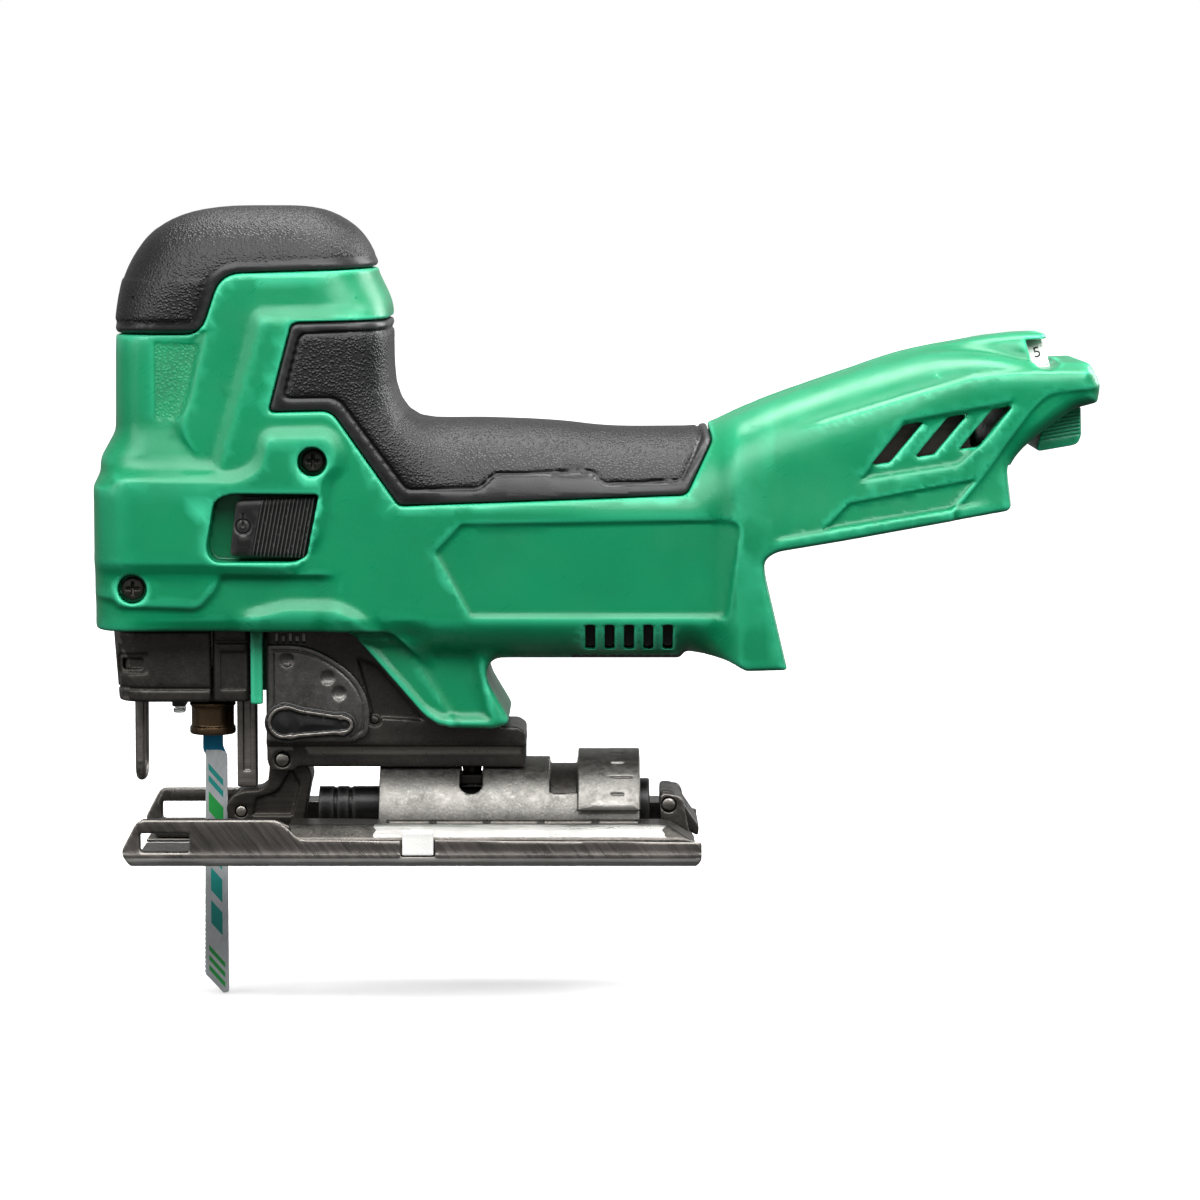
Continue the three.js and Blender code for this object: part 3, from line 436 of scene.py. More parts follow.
GREEN = linear(0, 118, 77)
MATERIALS = {
    "housing_green": moulded(
        "housing_green", GREEN, 0.34, grain=2.6, depth=0.03, edge_wear_and_highlight=linear(70, 200, 155),
        Specular_IOR_Level=0.55, Specular_Tint=(0.7, 1, 0.88, 1)),
    "soft_black": moulded(
        "soft_black", linear(9, 9, 10), 0.34, grain=2.8, edge_wear_and_highlight=linear(60, 60, 61), Specular_IOR_Level=0.36),
    "soft_stipple": stippled(
        "soft_stipple", linear(14, 14, 15), 0.36, pitch=0.8, depth=0.16, Specular_IOR_Level=0.36),
    "green_stipple": stippled("green_stipple", shade(GREEN, 1.15), 0.5, pitch=0.9, depth=0.12),
    "black_plastic": moulded(
        "black_plastic", linear(17, 17, 17), 0.4, edge_wear_and_highlight=linear(80, 79, 78), Specular_IOR_Level=0.4),
    "dark_casting": cast_metal(
        "dark_casting", linear(60, 57, 54), 0.36, 0.6, grain=1.6, depth=0.07, bright=linear(116, 112, 106)),
    "casting": cast_metal(
        "casting", linear(122, 120, 116), 0.44, 0.95, grain=1.5, depth=0.07, bright=linear(225, 222, 216)),
    "base_casting": cast_metal(
        "base_casting", linear(92, 89, 85), 0.34, 0.9, grain=1.2, depth=0.08, bright=linear(190, 186, 180)),
    "steel": brushed("steel", linear(128, 124, 119), 0.34),
    "ground_steel": brushed(
        "ground_steel", linear(112, 108, 104), 0.3, (1, 1, 0.05), (0, 38, 0), depth=0.07),
    "blade_steel": brushed(
        "blade_steel", linear(176, 180, 182), 0.36, (1, 1, 0.06), (0, -24, 0), depth=0.015, metallic=0.5),
    "dark_steel": brushed("dark_steel", linear(62, 59, 56), 0.4, metallic=0.9),
    "bright_steel": brushed("bright_steel", linear(222, 220, 215), 0.22, depth=0.01, mottle=0.9),
    "bronze": brushed("bronze", linear(104, 86, 66), 0.3, (1, 1, 0.1), metallic=0.95),
    "copper": brushed("copper", linear(184, 115, 72), 0.35, metallic=0.95),
    "dial_white": moulded("dial_white", linear(236, 236, 232), 0.42, edge_wear_and_highlight=linear(250, 250, 250)),
    "ink_black": moulded("ink_black", linear(22, 22, 22), 0.5),
    "ink_teal": moulded("ink_teal", linear(12, 104, 98), 0.45),
    "ink_green": moulded("ink_green", linear(24, 112, 50), 0.45),
    "ink_blue": brushed("ink_blue", linear(22, 104, 136), 0.34, metallic=0.75),
    "plate": cast_metal("plate", linear(112, 110, 107), 0.36, 0.95, grain=2.2, depth=0.05),
    "bevel_highlight": brushed("bevel_highlight", linear(196, 194, 190), 0.32, depth=0.02, mottle=0.85),
    "lens": clear_lens(),
}


def dress(obj, *looks):
    obj.data.materials.clear()
    for look in looks:
        obj.data.materials.append(MATERIALS[look])
    return obj


def paint(obj, index, where):
    """Gives the faces whose centres, in mm, pass a test another of the piece's materials."""
    mesh = obj.data
    centres = np.empty(len(mesh.polygons) * 3, np.float32)
    mesh.polygons.foreach_get("center", centres)
    x, y, z = (centres.reshape(-1, 3) / MM).T
    chosen = np.empty(len(mesh.polygons), np.int32)
    mesh.polygons.foreach_get("material_index", chosen)
    chosen[where(x, y, z)] = index
    mesh.polygons.foreach_set("material_index", chosen)


def within(corners, margin=0.0):
    """A test of face centres against a side outline."""
    return lambda x, y, z: poly_distance(x, z, corners) < -margin


def stand_for(obj, slot, looks, *nodes):
    """The piece is shown in place of those CAD nodes and rides on their body."""
    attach(obj, BODY_OF[nodes[0]])
    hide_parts(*nodes)
    return dress(obj, *looks)


def build(node, slot, shape, cell, looks=None, box=None):
    """A piece from a field, meshed inside its CAD node's box and shown in the node's place."""
    low, high = box or [np.array(corner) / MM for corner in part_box(node)]
    grid = Grid(low, high, cell)
    return stand_for(mesh_of("skin_" + node, grid, shape(grid)), slot, looks or [slot], node)


# ---- housing: side outlines in X and Z
HEAD_FLOOR = 68.4
WALL = 3.4
PAD_DEPTH = 2.2
SEAM = 0.04
BATTERY_START = (107.0, 92.3)
BATTERY_TILT = 10
CHANNEL_TOP = 13.0
DIAL_AT = (185.6, 145.3)
DIAL_TILT = 15
DIAL_ROOM = (10.2, 4.2)  # radius and half width of the dial's space
HOUSING_X, HOUSING_HALF, HOUSING_Z = (-94.5, 203.5), 38, (38.5, 194)
HOUSING_CELL = 0.67
BARREL_HALF = 30.6
WING_FLARE = 4.0
ROUND_POWER = 2.3  # 2 would round the edges as ellipses; more makes them squarer
# The wall behind the low vents is painted black as painted shade.
VENT_WALL = (64.6, 20.5)  # middle of the dark wall behind the low vents, along X and out from the middle

BODY_SIDE = [
    (-94, 40), (-94, 111.2, 1), (-92.2, 115.2, 1), (-92.2, 119.3, 1.5), (-87.9, 127.2, 1.5),
    (-87.6, 163.5, 12), (-85.0, 175.8, 12), (-76.6, 187.6, 12), (-61, 193.4, 12), (-27.8, 193.4, 9),
    (-16.2, 187.0, 9), (-11, 178, 5), (-10.9, 173.9, 1.5), (-6.7, 164.8, 3), (-6.4, 129.6, 17),
    (19.6, 130.4, 12), (44, 129.3, 10), (58, 127.4, 10), (86.6, 127.6, 6), (104, 135.4, 8),
    (120.4, 141.3, 8), (136.8, 146.8, 8), (153.2, 151.0, 8), (170, 150.2, 10), (182, 147.2, 4),
    (199.2, 147.8, 2), (202.4, 141.0, 2), (201.5, 135.8, 1), (194.9, 134.1, 2), (180.6, 123.8, 6),
    (174.7, 117.0, 5), (175.9, 105.6, 1), (174.8, 104.4, 1), (126.8, 95.7), (107, 92.4, 2),
    (103.6, 90, 2), (103.7, 86.5, 3), (110.5, 57.7, 1), (98.3, 57.4, 1), (93.6, 59.9, 2), (81, 61.7, 1),
    (79.2, 59.5, 1), (8, 59.5), (8, 40),
]
DIAL_RIDGE = [
    (112, 128), (136.8, 146.4, 8), (153.2, 151.4, 8), (169.6, 154.7, 8), (181, 155.8, 3),
    (187.2, 155.8, 1.5), (188.8, 153.8, 1), (190.8, 148, 1), (190.8, 138), (150, 126),
]
DIAL_NOTCH = [
    (181.6, 153.5, 0.5), (193, 154.5), (191, 147.2, 1.5), (187.6, 145.3, 2), (183.7, 145.9, 1),
]
FLOOR_CUT = [(-120, 0), (9, 0), (9, 59.5), (3, 59.5, 3), (-6, HEAD_FLOOR, 3), (-120, HEAD_FLOOR)]
LEG_SIDE = [
    (-24, 76), (-24, 71.5), (-18.5, 68.4, 3), (6.8, 39.2, 7), (24.5, 38.9, 2), (29.4, 40.8, 3),
    (21.2, 54.5, 5), (24, 61), (24, 76),
]
BRACKET_BAY = [(-20, 30), (26, 30), (26, 44.6), (16.6, 54), (16.6, 76.4), (-20, 76.4)]
LEG_POCKET = [(-16, 66, 2), (3, 44, 2), (8, 41, 2), (24, 41, 2), (19, 66, 2)]
CAP_EDGE = [
    (-110, 155.8), (-61.4, 155.8, 5), (-55.4, 173.6, 6), (-22, 174.6), (10, 176.2), (10, 215),
    (-110, 215),
]
GRIP_EDGE = [
    (10, 160.6), (-34.7, 159.3, 2), (-41.6, 133.2, 2), (-23.2, 133.6, 3), (-3.5, 105.7, 1.5),
    (54, 107.8), (80.9, 108.8, 2), (88.6, 124.4, 1), (84.5, 140), (10, 140),
]
GRIP_LINE = [
    (10, 157.6), (-32.0, 156, 2), (-36.9, 137.2, 2), (-21.2, 137.4, 3), (-1.2, 110.5, 1.5),
    (20.4, 110.9, 2), (24.4, 115.0, 2), (53.6, 115.7, 2), (56.4, 112.1, 2), (79.4, 113.1, 2),
    (85.4, 125.6), (81, 140), (10, 140),
]
CREASE = [
    (-100, 118), (-59.2, 119.6), (-47.2, 161.4, 2), (-44.6, 164.0, 2), (240, 172), (240, 20),
    (-100, 20),
]
COLLAR = [
    (-110, 114.6), (-90, 114.6, 2), (-87.4, 116.8, 2), (-51.1, 116.2, 3), (-46.4, 119, 2),
    (-44.8, 126.4, 2), (-41.6, 129.0, 2), (-24.4, 129.4, 2), (-20.6, 127, 2), (-18.2, 121.8, 2),
    (-18.9, 116.2, 2), (-22.7, 112.6, 2), (-25.4, 95.9, 3), (-31.6, 88.4, 2), (-35.3, 84.4, 2),
    (-59.4, 85.4), (-110, 85.4),
]
LOWER_STEP = [
    (-100, 90), (-54.3, 90), (-54.3, 85.6), (-57, 79.8, 2), (-62, 74.2, 3), (-86.1, 75.0, 2),
    (-88.2, 77, 1), (-100, 78),
]
UNDER_RIDGE = [
    (-60, 74.5), (-50, 75.2, 4), (-37, 78.4, 3), (-21, 78.4, 4), (-14.4, 75, 2), (2, 60.6),
    (13.5, 43.4), (13.5, 20), (-60, 20),
]
BARREL_PANEL = [(14.6, 100.8, 1), (6.5, 92.2, 1.5), (17.3, 72.7, 1), (93.2, 72.7, 2), (97.4, 102.2, 5)]
STIPPLE = [(-75.3, 153.9, 1.5), (-61.4, 153.4, 2), (-66.9, 130.6, 4), (-75.3, 130.3, 2)]
FRONT_RECESS = [
    (-110, 118.8), (-61.6, 118.8), (-67.4, 128.7, 5), (-63.8, 136.6, 3), (-59.0, 158), (-110, 160),
]
SWITCH_WINDOW = [
    (-57.8, 89.2, 2.5), (-33.6, 89.2, 2), (-30.4, 91.2, 1), (-26.8, 109.2, 1), (-53.4, 109.4, 3),
    (-57.6, 107.2, 2.5), (-60.0, 92.9, 2.5),
]
ARM_PANEL = [(119.9, 98.5, 1), (128.2, 107.1, 1), (166.4, 114.3, 1.5), (158.4, 104.6, 1)]
ARM_STRIP = [
    (158.0, 96), (158.4, 104.3), (166.8, 114.3), (181.2, 134.3, 5), (186.4, 139.2, 4), (215, 142.4),
    (215, 96),
]
VENT_RECESS = [
    (130.6, 112.7, 1), (144.0, 131.2, 1), (177.4, 137.2, 1), (170.6, 127, 2), (160.6, 117.4, 2),
]
SHELF_X, SHELF_Z = [108.9, 164.7, 183.7, 205], [126.2, 143.3, 145.2, 144.8]
PLUNGER = (-61.0, 0.0)
LEFT_SCREWS = [(-28.7, 118.8), (-81.9, 81.2)]
RIGHT_SCREWS = [(-79.0, 146.0), (94.0, 104.0), (168.0, 140.0)]
SCREW_SEAT = 27.0
FIRST_VENT = [(134.7, 117.8, 0.6), (140.3, 118.6, 0.6), (150.2, 130.5, 0.6), (144.3, 129.5, 0.6)]
ARM_VENTS = [[(u + 12.9 * i, v + 2.3 * i, r) for u, v, r in FIRST_VENT] for i in range(3)]
LOW_VENTS = [slab(51.2 + 5.7 * i, 54.1 + 5.7 * i, 63.2, 70.8, 0.5) for i in range(5)]


def rails(g):
    """Coordinates along the battery rails, and away from the battery."""
    return g.tilted(BATTERY_START, BATTERY_TILT)


def side_width(g):
    """Half width of the housing's flank over X and Z: the creases, the collar, the panels and the flare."""
    x, z = g.x, g.z
    arm = ease((x - 86) / 12)
    width = BARREL_HALF + 2.0 * step_in(g.side(CREASE), 4.6)
    width = width + 0.8 * ease((x - 2) / 22)
    ramp = np.minimum(step_in(119.4 - z, 9.4), step_in(z - 157.4, 1.4))
    width -= 2.1 * np.minimum(step_in(g.side(FRONT_RECESS), 3.4), ramp)
    width -= 0.4 * step_in(g.side(STIPPLE), 0.7)
    width += 2.1 * step_in(g.side(COLLAR), 3.8)
    lower = ease((86.2 - z) / 2.6) * ease((-20 - x) / 8)
    width -= 0.3 * lower
    width -= 1.6 * lower * (1 - step_in(g.side(LOWER_STEP), 1.8))
    width += 2.0 * step_in(g.side(UNDER_RIDGE), 3.6) * ease((x + 54) / 9) * ease((30 - x) / 10)
    width -= 2.4 * step_in(z - 72.4, 5) * ease((8 - x) / 10) * ease((x + 94) / 30)
    width -= 6.0 * step_in(z - 71.2, 12) * ease((x + 8) / 12) * (1 - arm)
    width -= 1.1 * step_in(g.side(BARREL_PANEL), 1.3)
    # The wing and the arm stand wider, over the battery.
    width += WING_FLARE * ease((x - 88.5) / 8.5) * (1 - 0.45 * ease((z - 96) / 22))
    width -= 1.0 * ease((x - 165) / 35)
    up = rails(g)[1]
    width -= 0.9 * ease((up - 3.2) / 1.2) * ease((x - 104) / 6) * ease((172 - x) / 12)
    width -= 1.0 * step_in(g.side(ARM_PANEL), 0.9)
    width -= 0.8 * step_in(g.side(ARM_STRIP), 1.1)
    width -= 1.3 * step_in(g.side(VENT_RECESS), 1.5)
    # Above the shelf line the arm steps in.
    above = z - np.interp(x, SHELF_X, SHELF_Z).astype(np.float32)
    return width - 1.3 * step_in(-above, 1.2) * ease((x - 110) / 14)


def roundings(g):
    """How far the housing's edges round over, along its side outline and across it."""
    x, z = g.x, g.z
    up = rails(g)[1]
    cap = ease((z - 150) / 30)
    head = (13 + 11 * cap, 15 + 10 * cap)
    top = ease((z - 94) / 14)
    barrel = (11.5 + 19 * top, 13 + 18 * top)
    back = ease((up - 7) / 16)
    tail = ease((x - 140) / 45)
    arm = (2.2 + mix(18, 4, tail) * back, 2.4 + mix(21, 6, tail) * back)
    to_barrel = ease((x + 9) / 24)
    to_arm = ease((x - 82) / 14)
    return [mix(mix(h, b, to_barrel), a, to_arm) for h, b, a in zip(head, barrel, arm)]


def housing_form(g):
    """The outside of the whole housing, skins included."""
    power = ROUND_POWER
    rx, ry = roundings(g)
    d = g.side(BODY_SIDE)
    u = np.maximum((rx + d) / rx, 0)
    q = np.maximum((np.abs(g.y) - (side_width(g) - ry)) / ry, 0)
    body = np.minimum(rx, ry) * ((u ** power + q ** power) ** (1 / power) - 1)
    body = cut(body, g.side(FLOOR_CUT), k=1.6)
    dial_ridge = both(g.side(DIAL_RIDGE), np.abs(g.y) - 13.5, k=6.0)
    body = union(body, dial_ridge, k=3.0)
    leg_half = 24.6 - 2.2 * step_in(g.side(LEG_POCKET), 2.6)
    leg_half = leg_half + 1.1 * step_in(g.side(UNDER_RIDGE), 2.4)
    leg = both(g.side(LEG_SIDE), np.abs(g.y) - leg_half, k=3.0)
    return union(body, leg, k=3.0)


def dial_space(g):
    """A disc about the dial's tilted axis."""
    along, up = g.tilted(DIAL_AT, DIAL_TILT)
    return both(np.abs(along) - DIAL_ROOM[1], np.hypot(up, g.y) - DIAL_ROOM[0])


def housing_fields(g, sign):
    """Fields of one half of the housing and of its crown and grip skins."""
    form = housing_form(g)
    x, y, z = g.x, np.abs(g.y), g.z
    along, up = rails(g)
    cap_d = g.side(CAP_EDGE)
    grip_d = g.side(GRIP_EDGE)
    line_d = g.side(GRIP_LINE)
    middle = SEAM - y

    # The crown has a soft crease above its lower edge; the grip has a groove inside its border.
    hem = np.abs(cap_d + 3.4)
    crown_form = form - 0.35 * ease((-cap_d - 3.2) / 1.6) * (z < 172) + 0.25 * ease((0.9 - hem) / 0.9)
    crown = cut(both(crown_form, cap_d + 0.2, k=1.5), form + PAD_DEPTH)
    groove = 0.7 * ease((0.75 - np.abs(line_d)) / 0.5)
    grip = cut(both(form + groove, grip_d + 0.2, k=1.3), form + PAD_DEPTH)

    # The shell has a rounded lip beside each skin and a bed under it.
    shell = cut(form, cap_d - 0.1, grip_d - 0.1, k=1.0)
    shell = union(shell, form + PAD_DEPTH + 0.4)
    hollow = form + WALL + PAD_DEPTH * step_in(union(cap_d, grip_d) - 3, 3.0)
    hollow = both(hollow, union(x - 97, CHANNEL_TOP + 3 - up), x - 170)
    hollow = union(hollow, both(g.side(BRACKET_BAY), y - 14.8))
    shell = cut(shell, hollow)

    # Floor and rim of the switch window. The link's arms pass outside the floor, its crossbar behind it.
    window = g.side(SWITCH_WINDOW)
    pocket = both(window - 2.2, span(y, 22, 31))
    shell = union(shell, both(pocket, form + 1.0))
    shell = cut(shell, both(window, 24.2 - y), k=0.9)
    arms_or_crossbar = union(24.2 - y, -30.6 - x)
    link_way = both(span(x, -56.4, -18), span(z, 103, 109), y - 27.6, arms_or_crossbar)
    shell = cut(shell, link_way)

    # Screw bosses, recesses and bores.
    own, far = (LEFT_SCREWS, RIGHT_SCREWS) if sign < 0 else (RIGHT_SCREWS, LEFT_SCREWS)
    for at in own + far:
        post = both(g.from_line(at) - 4.6, form + 0.8)
        shell = union(shell, both(post, 12 - y), k=0.6)
    for at in own:
        shell = cut(shell, both(g.from_line(at) - 4.3, SCREW_SEAT - y), k=0.8)
        shell = cut(shell, g.from_line(at) - 1.9)

    # Vents, with a wall behind the low ones that is painted black as painted shade.
    for corners in ARM_VENTS + LOW_VENTS:
        shell = cut(shell, g.side(corners), k=0.5)
    wall_x, wall_y = VENT_WALL
    vent_shade_wall = both(np.abs(x - wall_x) - 16, np.abs(y - wall_y) - 1.5, span(z, 59, 76), form + 1.0)
    shell = union(shell, vent_shade_wall)

    # The battery channel, then the ways of the plunger, the orbit pusher and the dial.
    channel = both(y - 32.6, 0.5 - along, span(up, 3.2, CHANNEL_TOP))
    mouth = both(y - 29.5, 0.5 - along, up - 3.4)
    shell = cut(shell, channel, mouth, k=0.7)
    plunger_way = both(np.hypot(x - PLUNGER[0], y) - 7.9, z - 74)
    pusher_way = both(np.abs(x + 50.7) - 3.5, y - 3.3, z - 74)
    shell = cut(shell, plunger_way, pusher_way)
    shell = cut(shell, dial_space(g), g.side(DIAL_NOTCH), k=0.6)
    rib = both(np.abs(x + 46.3) - 1.8, np.abs(y - 19.3) - 1.7, span(z, 46, 70), k=0.5)
    fields = {"housing": union(shell, rib), "head_pad": crown, "grip_pad": grip}
    return {name: both(field, middle, k=0.7) for name, field in fields.items()}


def housing():
    for side, sign in SIDES.items():
        start, end = sorted((0, sign * HOUSING_HALF))
        low, high = zip(HOUSING_X, (start, end), HOUSING_Z)
        g = Grid(low, high, HOUSING_CELL)
        fields = housing_fields(g, sign)
        shell = stand_for(
            mesh_of("skin_housing_" + side, g, fields["housing"]), "housing_green",
            ["housing_green", "green_stipple", "black_plastic"], "housing_" + side)
        paint(shell, 1, within(STIPPLE, 0.5))
        wall_x, wall_y = VENT_WALL
        # The wall behind the low vents is painted black as painted shade.
        paint(shell, 2, lambda x, y, z: (np.abs(x - wall_x) < 17) & (z < 77) & (np.abs(y) < wall_y + 2.1))
        for name in ("head_pad", "grip_pad"):
            pad = stand_for(
                mesh_of(f"skin_{name}_{side}", g, fields[name]), "soft_black",
                ["soft_black", "soft_stipple"], f"{name}_{side}")
            paint(pad, 1, within(CAP_EDGE, 3.4) if name == "head_pad" else within(GRIP_LINE, 0.7))


def screw_shape(at):
    def shape(g):
        x, y, z = g.x - at[0], np.abs(g.y), g.z - at[1]
        radius = np.hypot(x, z)
        head = both(radius - 3.4, span(y, 27.3, 29.6 - 0.03 * radius ** 2), k=0.5)
        long, thin = 1.9, 0.42
        cross = union(*[np.maximum(np.abs(a) - long, np.abs(b) - thin) for a, b in ((x, z), (z, x))])
        head = cut(head, both(cross, 27.9 + 0.4 * radius - y), k=0.25)
        thread = radius - 1.5 + 0.15 * np.sin(y * 2 * math.pi / 1.2)
        return union(head, both(thread, y - 28))
    return shape


def screws():
    for side, places in (("left", LEFT_SCREWS), ("right", RIGHT_SCREWS)):
        for i, at in enumerate(places):
            build(f"housing_screw_{side}_{i + 1}", "dark_steel", screw_shape(at), 0.22)


# ---- nose: gear cover, lamp, front lever, guard wire
LEVER_HINGE = (-62.0, 15.4)
NOSE_TOP = 68.1
LEVER_FOOT, LEVER_TOP = 46.2, 67.6
WIRE_X, WIRE_TOP = -82.3, 64.1


def gear_cover(g):
    y = np.abs(g.y)
    made = g.prism("z", slab(-59.6, -48.6, -17, 17, 2), 46.4, NOSE_TOP, k=0.9)
    made = cut(made, g.rod("z", 8.4, 30, 64, PLUNGER), g.box(-62, -40, -3.3, 3.3, 30, 64), k=0.5)
    made = union(made, g.box(-59.6, -44.2, -12, 12, 64, NOSE_TOP, k=0.6), k=0.6)
    made = cut(made, g.rod("z", 7.8, 30, 80, PLUNGER), g.box(-54.3, -47.2, -3.3, 3.3, 30, 80), k=0.4)
    # A shallow panel and a waist line on each flank.
    panel = both(np.abs(g.x + 53.6) - 3.6, np.abs(g.z - 55.6) - 5.6, 16.5 - y)
    made = cut(made, panel, k=0.5)
    return cut(made, both(np.abs(g.z - 64.2) - 0.35, 16.5 - y), k=0.3)


def work_lamp(g):
    made = g.box(-73, -68.8, -4, 4, 43.4, NOSE_TOP, k=0.7)
    return cut(made, g.box(-73.4, -72.4, -2.6, 2.6, 48, 62), k=0.4)


def lamp_lens(g):
    dome = g.box(-72.6, -69.2, -3.4, 3.4, 41.5, 43.1, k=0.7)
    return dome + 0.08 * np.cos(g.y * 2 * math.pi / 1.3) * (g.z < 42.4)


def front_lever(g):
    lean = g.x - 0.075 * (LEVER_TOP - g.z)
    half = np.abs(g.y)
    plan = [(-90, -17.2, 11), (-50, -17.2), (-50, 17.2), (-90, 17.2, 11)]
    skin = poly_distance(lean, g.y, plan)
    outer = both(skin, span(g.z, LEVER_FOOT, LEVER_TOP), g.x + 60.2, k=1.2)
    plan_in = [(-87, -14, 9), (-40, -14), (-40, 14), (-87, 14, 9)]
    made = cut(outer, both(poly_distance(g.x, g.y, plan_in), g.z - 64.4), k=0.6)
    made = cut(made, g.box(-74.6, -50, -14, 14, 60, 70), k=0.5)
    made = cut(made, g.box(-64.4, -50, 13, 20, 40, 70), k=0.5)
    # Slot and raised band on each flank, and a lip round the foot.
    frame_side = [(-88, 54.2, 1.2), (-78.8, 54.8, 1.2), (-78.6, 60.8, 1.2), (-88, 60.4, 1.2)]
    slot_side = [(-86.6, 55.9, 0.9), (-80.4, 56.2, 0.9), (-80.2, 59.4, 0.9), (-86.6, 59.1, 0.9)]
    made = cut(made, both(g.side(frame_side), -0.5 - skin, 9 - half), k=0.4)
    made = cut(made, both(g.side(slot_side), -1.9 - skin, 9 - half), k=0.4)
    made = cut(made, both(np.abs(g.z - 50.2) - 0.4, -0.55 - skin), k=0.4)
    barrel = g.rod("z", 2, LEVER_FOOT, LEVER_TOP, LEVER_HINGE, k=0.4)
    leaf = g.box(-66, LEVER_HINGE[0], 14.6, 16.6, LEVER_FOOT, LEVER_TOP)
    knuckle = union(barrel, leaf)
    return cut(union(made, knuckle, k=0.6), g.rod("z", 1.3, 40, 80, LEVER_HINGE))


def guard_wire(g):
    line = [(-6, WIRE_TOP), (-6, 22.5, 5), (6, 22.5, 5), (6, WIRE_TOP)]
    return both(g.wire("x", line, 1.5, WIRE_X), g.z - WIRE_TOP, k=0.2)


def hinge_pin(g):
    radius = np.hypot(g.x - LEVER_HINGE[0], g.y - LEVER_HINGE[1])
    domed = np.abs(g.z - 57) - 10.6 + 0.3 * radius
    return both(g.rod("z", 1, 46.4, NOSE_TOP, LEVER_HINGE), domed, k=0.2)


def nose():
    build("gear_cover", "black_plastic", gear_cover, 0.3, ["dark_casting"])
    build("work_lamp", "black_plastic", work_lamp, 0.25)
    build("work_lamp_lens", "lens", lamp_lens, 0.15)
    build("front_lever", "black_plastic", front_lever, 0.35, ["dark_casting"])
    build("guard_wire", "steel", guard_wire, 0.22)
    build("lever_hinge_pin", "steel", hinge_pin, 0.15)


# ---- switch knobs
KNOB = [(-53.2, 91, 1.5), (-30.8, 90.3, 0.8), (-27.4, 108.5, 0.8), (-51.2, 107.2, 1.5)]
KNOB_IN, KNOB_OUT = 27, 31.5
RIB_PITCH = 1.15
RING_AT, RING_R = (-49.2, 99.6), 2.1


def switch_knob(g):
    y = np.abs(g.y)
    along = g.x - 0.187 * (g.z - 90.3)
    ribs = 0.55 * ease((along + 47.2) / 0.6) * (0.5 + 0.5 * np.cos(along * 2 * math.pi / RIB_PITCH))
    bar = np.maximum(np.abs(g.x - RING_AT[0]), np.abs(g.z - RING_AT[1] - 2) - 1.6)
    ring = np.minimum(np.abs(g.from_line(RING_AT) - RING_R), bar)
    mark = 0.4 * ease((0.5 - ring) / 0.3)
    crown = 0.35 * ease((-g.side(KNOB)) / 1.6)
    top = KNOB_OUT - 0.35 + crown - ribs - mark
    return both(g.side(KNOB), KNOB_IN - y, y - top, k=0.5)


def switch():
    for side in SIDES:
        build("switch_knob_" + side, "black_plastic", switch_knob, 0.18)


# ---- bracket, detent plate and orbit selector
TILT_AXIS_Z = 8.0
SADDLE_R = 20.0
BRACKET_HALF = 14.5
ROLLER_PIVOT = (-39.4, 28.4)
SELECTOR_AT = (-38.4, 40.3)
BRACKET_SIDE = [
    (-44, 33), (33.3, 33), (33.3, 37, 1), (31, 38.6, 1), (25.6, 38.6, 1), (25.6, 44, 2), (16, 53.5, 2),
    (16, 66), (-19.4, 68), (-44, 68),
]
WEB = [(-12, 41, 2), (4, 40, 2), (-10.5, 57, 2), (-17.4, 60, 2)]
SCALE_MARKS = 5


def base_bracket(g):
    y = np.abs(g.y)
    face = BRACKET_HALF - 0.9 * step_in(g.side(WEB), 0.9)
    for i in range(SCALE_MARKS):
        x = -40.6 + 2.0 * i
        tall = 66.8 if i % 2 == 0 else 66.0
        mark = both(np.abs(g.x - x) - 0.32, span(g.z, 64.0, tall))
        face = face - 0.5 * ease((0.25 - mark) / 0.3)
    made = both(g.side(BRACKET_SIDE), y - face, k=0.8)
    flange = both(g.side(slab(-35, 33.3, 26.2, 34, 0.8)), y - 11.5, k=1.2)
    ear_side = [
        (-44, 34.5), (-44, 28, 1), (-42.6, 24.6, 2), (-36.4, 24.6, 2), (-33.5, 28, 1), (-33.5, 34.5),
    ]
    ear = both(g.side(ear_side), 8.2 - y, y - 11.5, k=0.4)
    made = union(made, flange, ear, k=0.8)
    made = cut(made, g.rod("x", SADDLE_R + 0.4, -60, 60, (0, TILT_AXIS_Z)), k=0.4)
    made = cut(made, g.box(-46, -29.5, -8.2, 8.2, 20, 36), g.box(-54, -46.5, -4, 4, 30, 70), k=0.4)
    made = cut(made, g.rod("y", 2.3, -60, 60, ROLLER_PIVOT), g.rod("y", 3.3, -60, 60, SELECTOR_AT), k=0.3)
    made = cut(made, g.rod("z", 3.3, 20, 44, (17, 0)), k=0.3)
    # A pin boss on the left flank.
    return cut(made, both(np.abs(g.from_line((-11.6, 40.9)) - 1.7) - 0.45, 13.7 - y), k=0.3)


DETENT_SIDE = [
    (-43.6, 34.2, 1), (-18, 34.2, 2), (-13.4, 36.5, 2), (-12.6, 46, 6), (-18, 55.5, 7), (-31, 63.4, 7),
    (-43.6, 63.4, 1),
]
DETENT_R = 18.4
DETENT_ANGLES = (27.5, 45.6, 87.5)
SELECTOR_RIM = 1.5


def detent_plate(g):
    made = both(g.side(DETENT_SIDE), span(g.y, -16.1, -14.8), k=0.7)
    rim = np.abs(g.side(DETENT_SIDE) + 1.9) - 0.3
    made = cut(made, both(rim, g.y + 15.85), k=0.15)
    made = cut(made, g.rod("y", 3.3, -60, 60, SELECTOR_AT), k=0.2)
    for angle in DETENT_ANGLES:
        a = math.radians(angle)
        at = (SELECTOR_AT[0] + DETENT_R * math.cos(a), SELECTOR_AT[1] + DETENT_R * math.sin(a))
        made = cut(made, np.hypot(g.from_line(at), (g.y + 17.1) * 1.35) - 2.6, k=0.3)
    return made


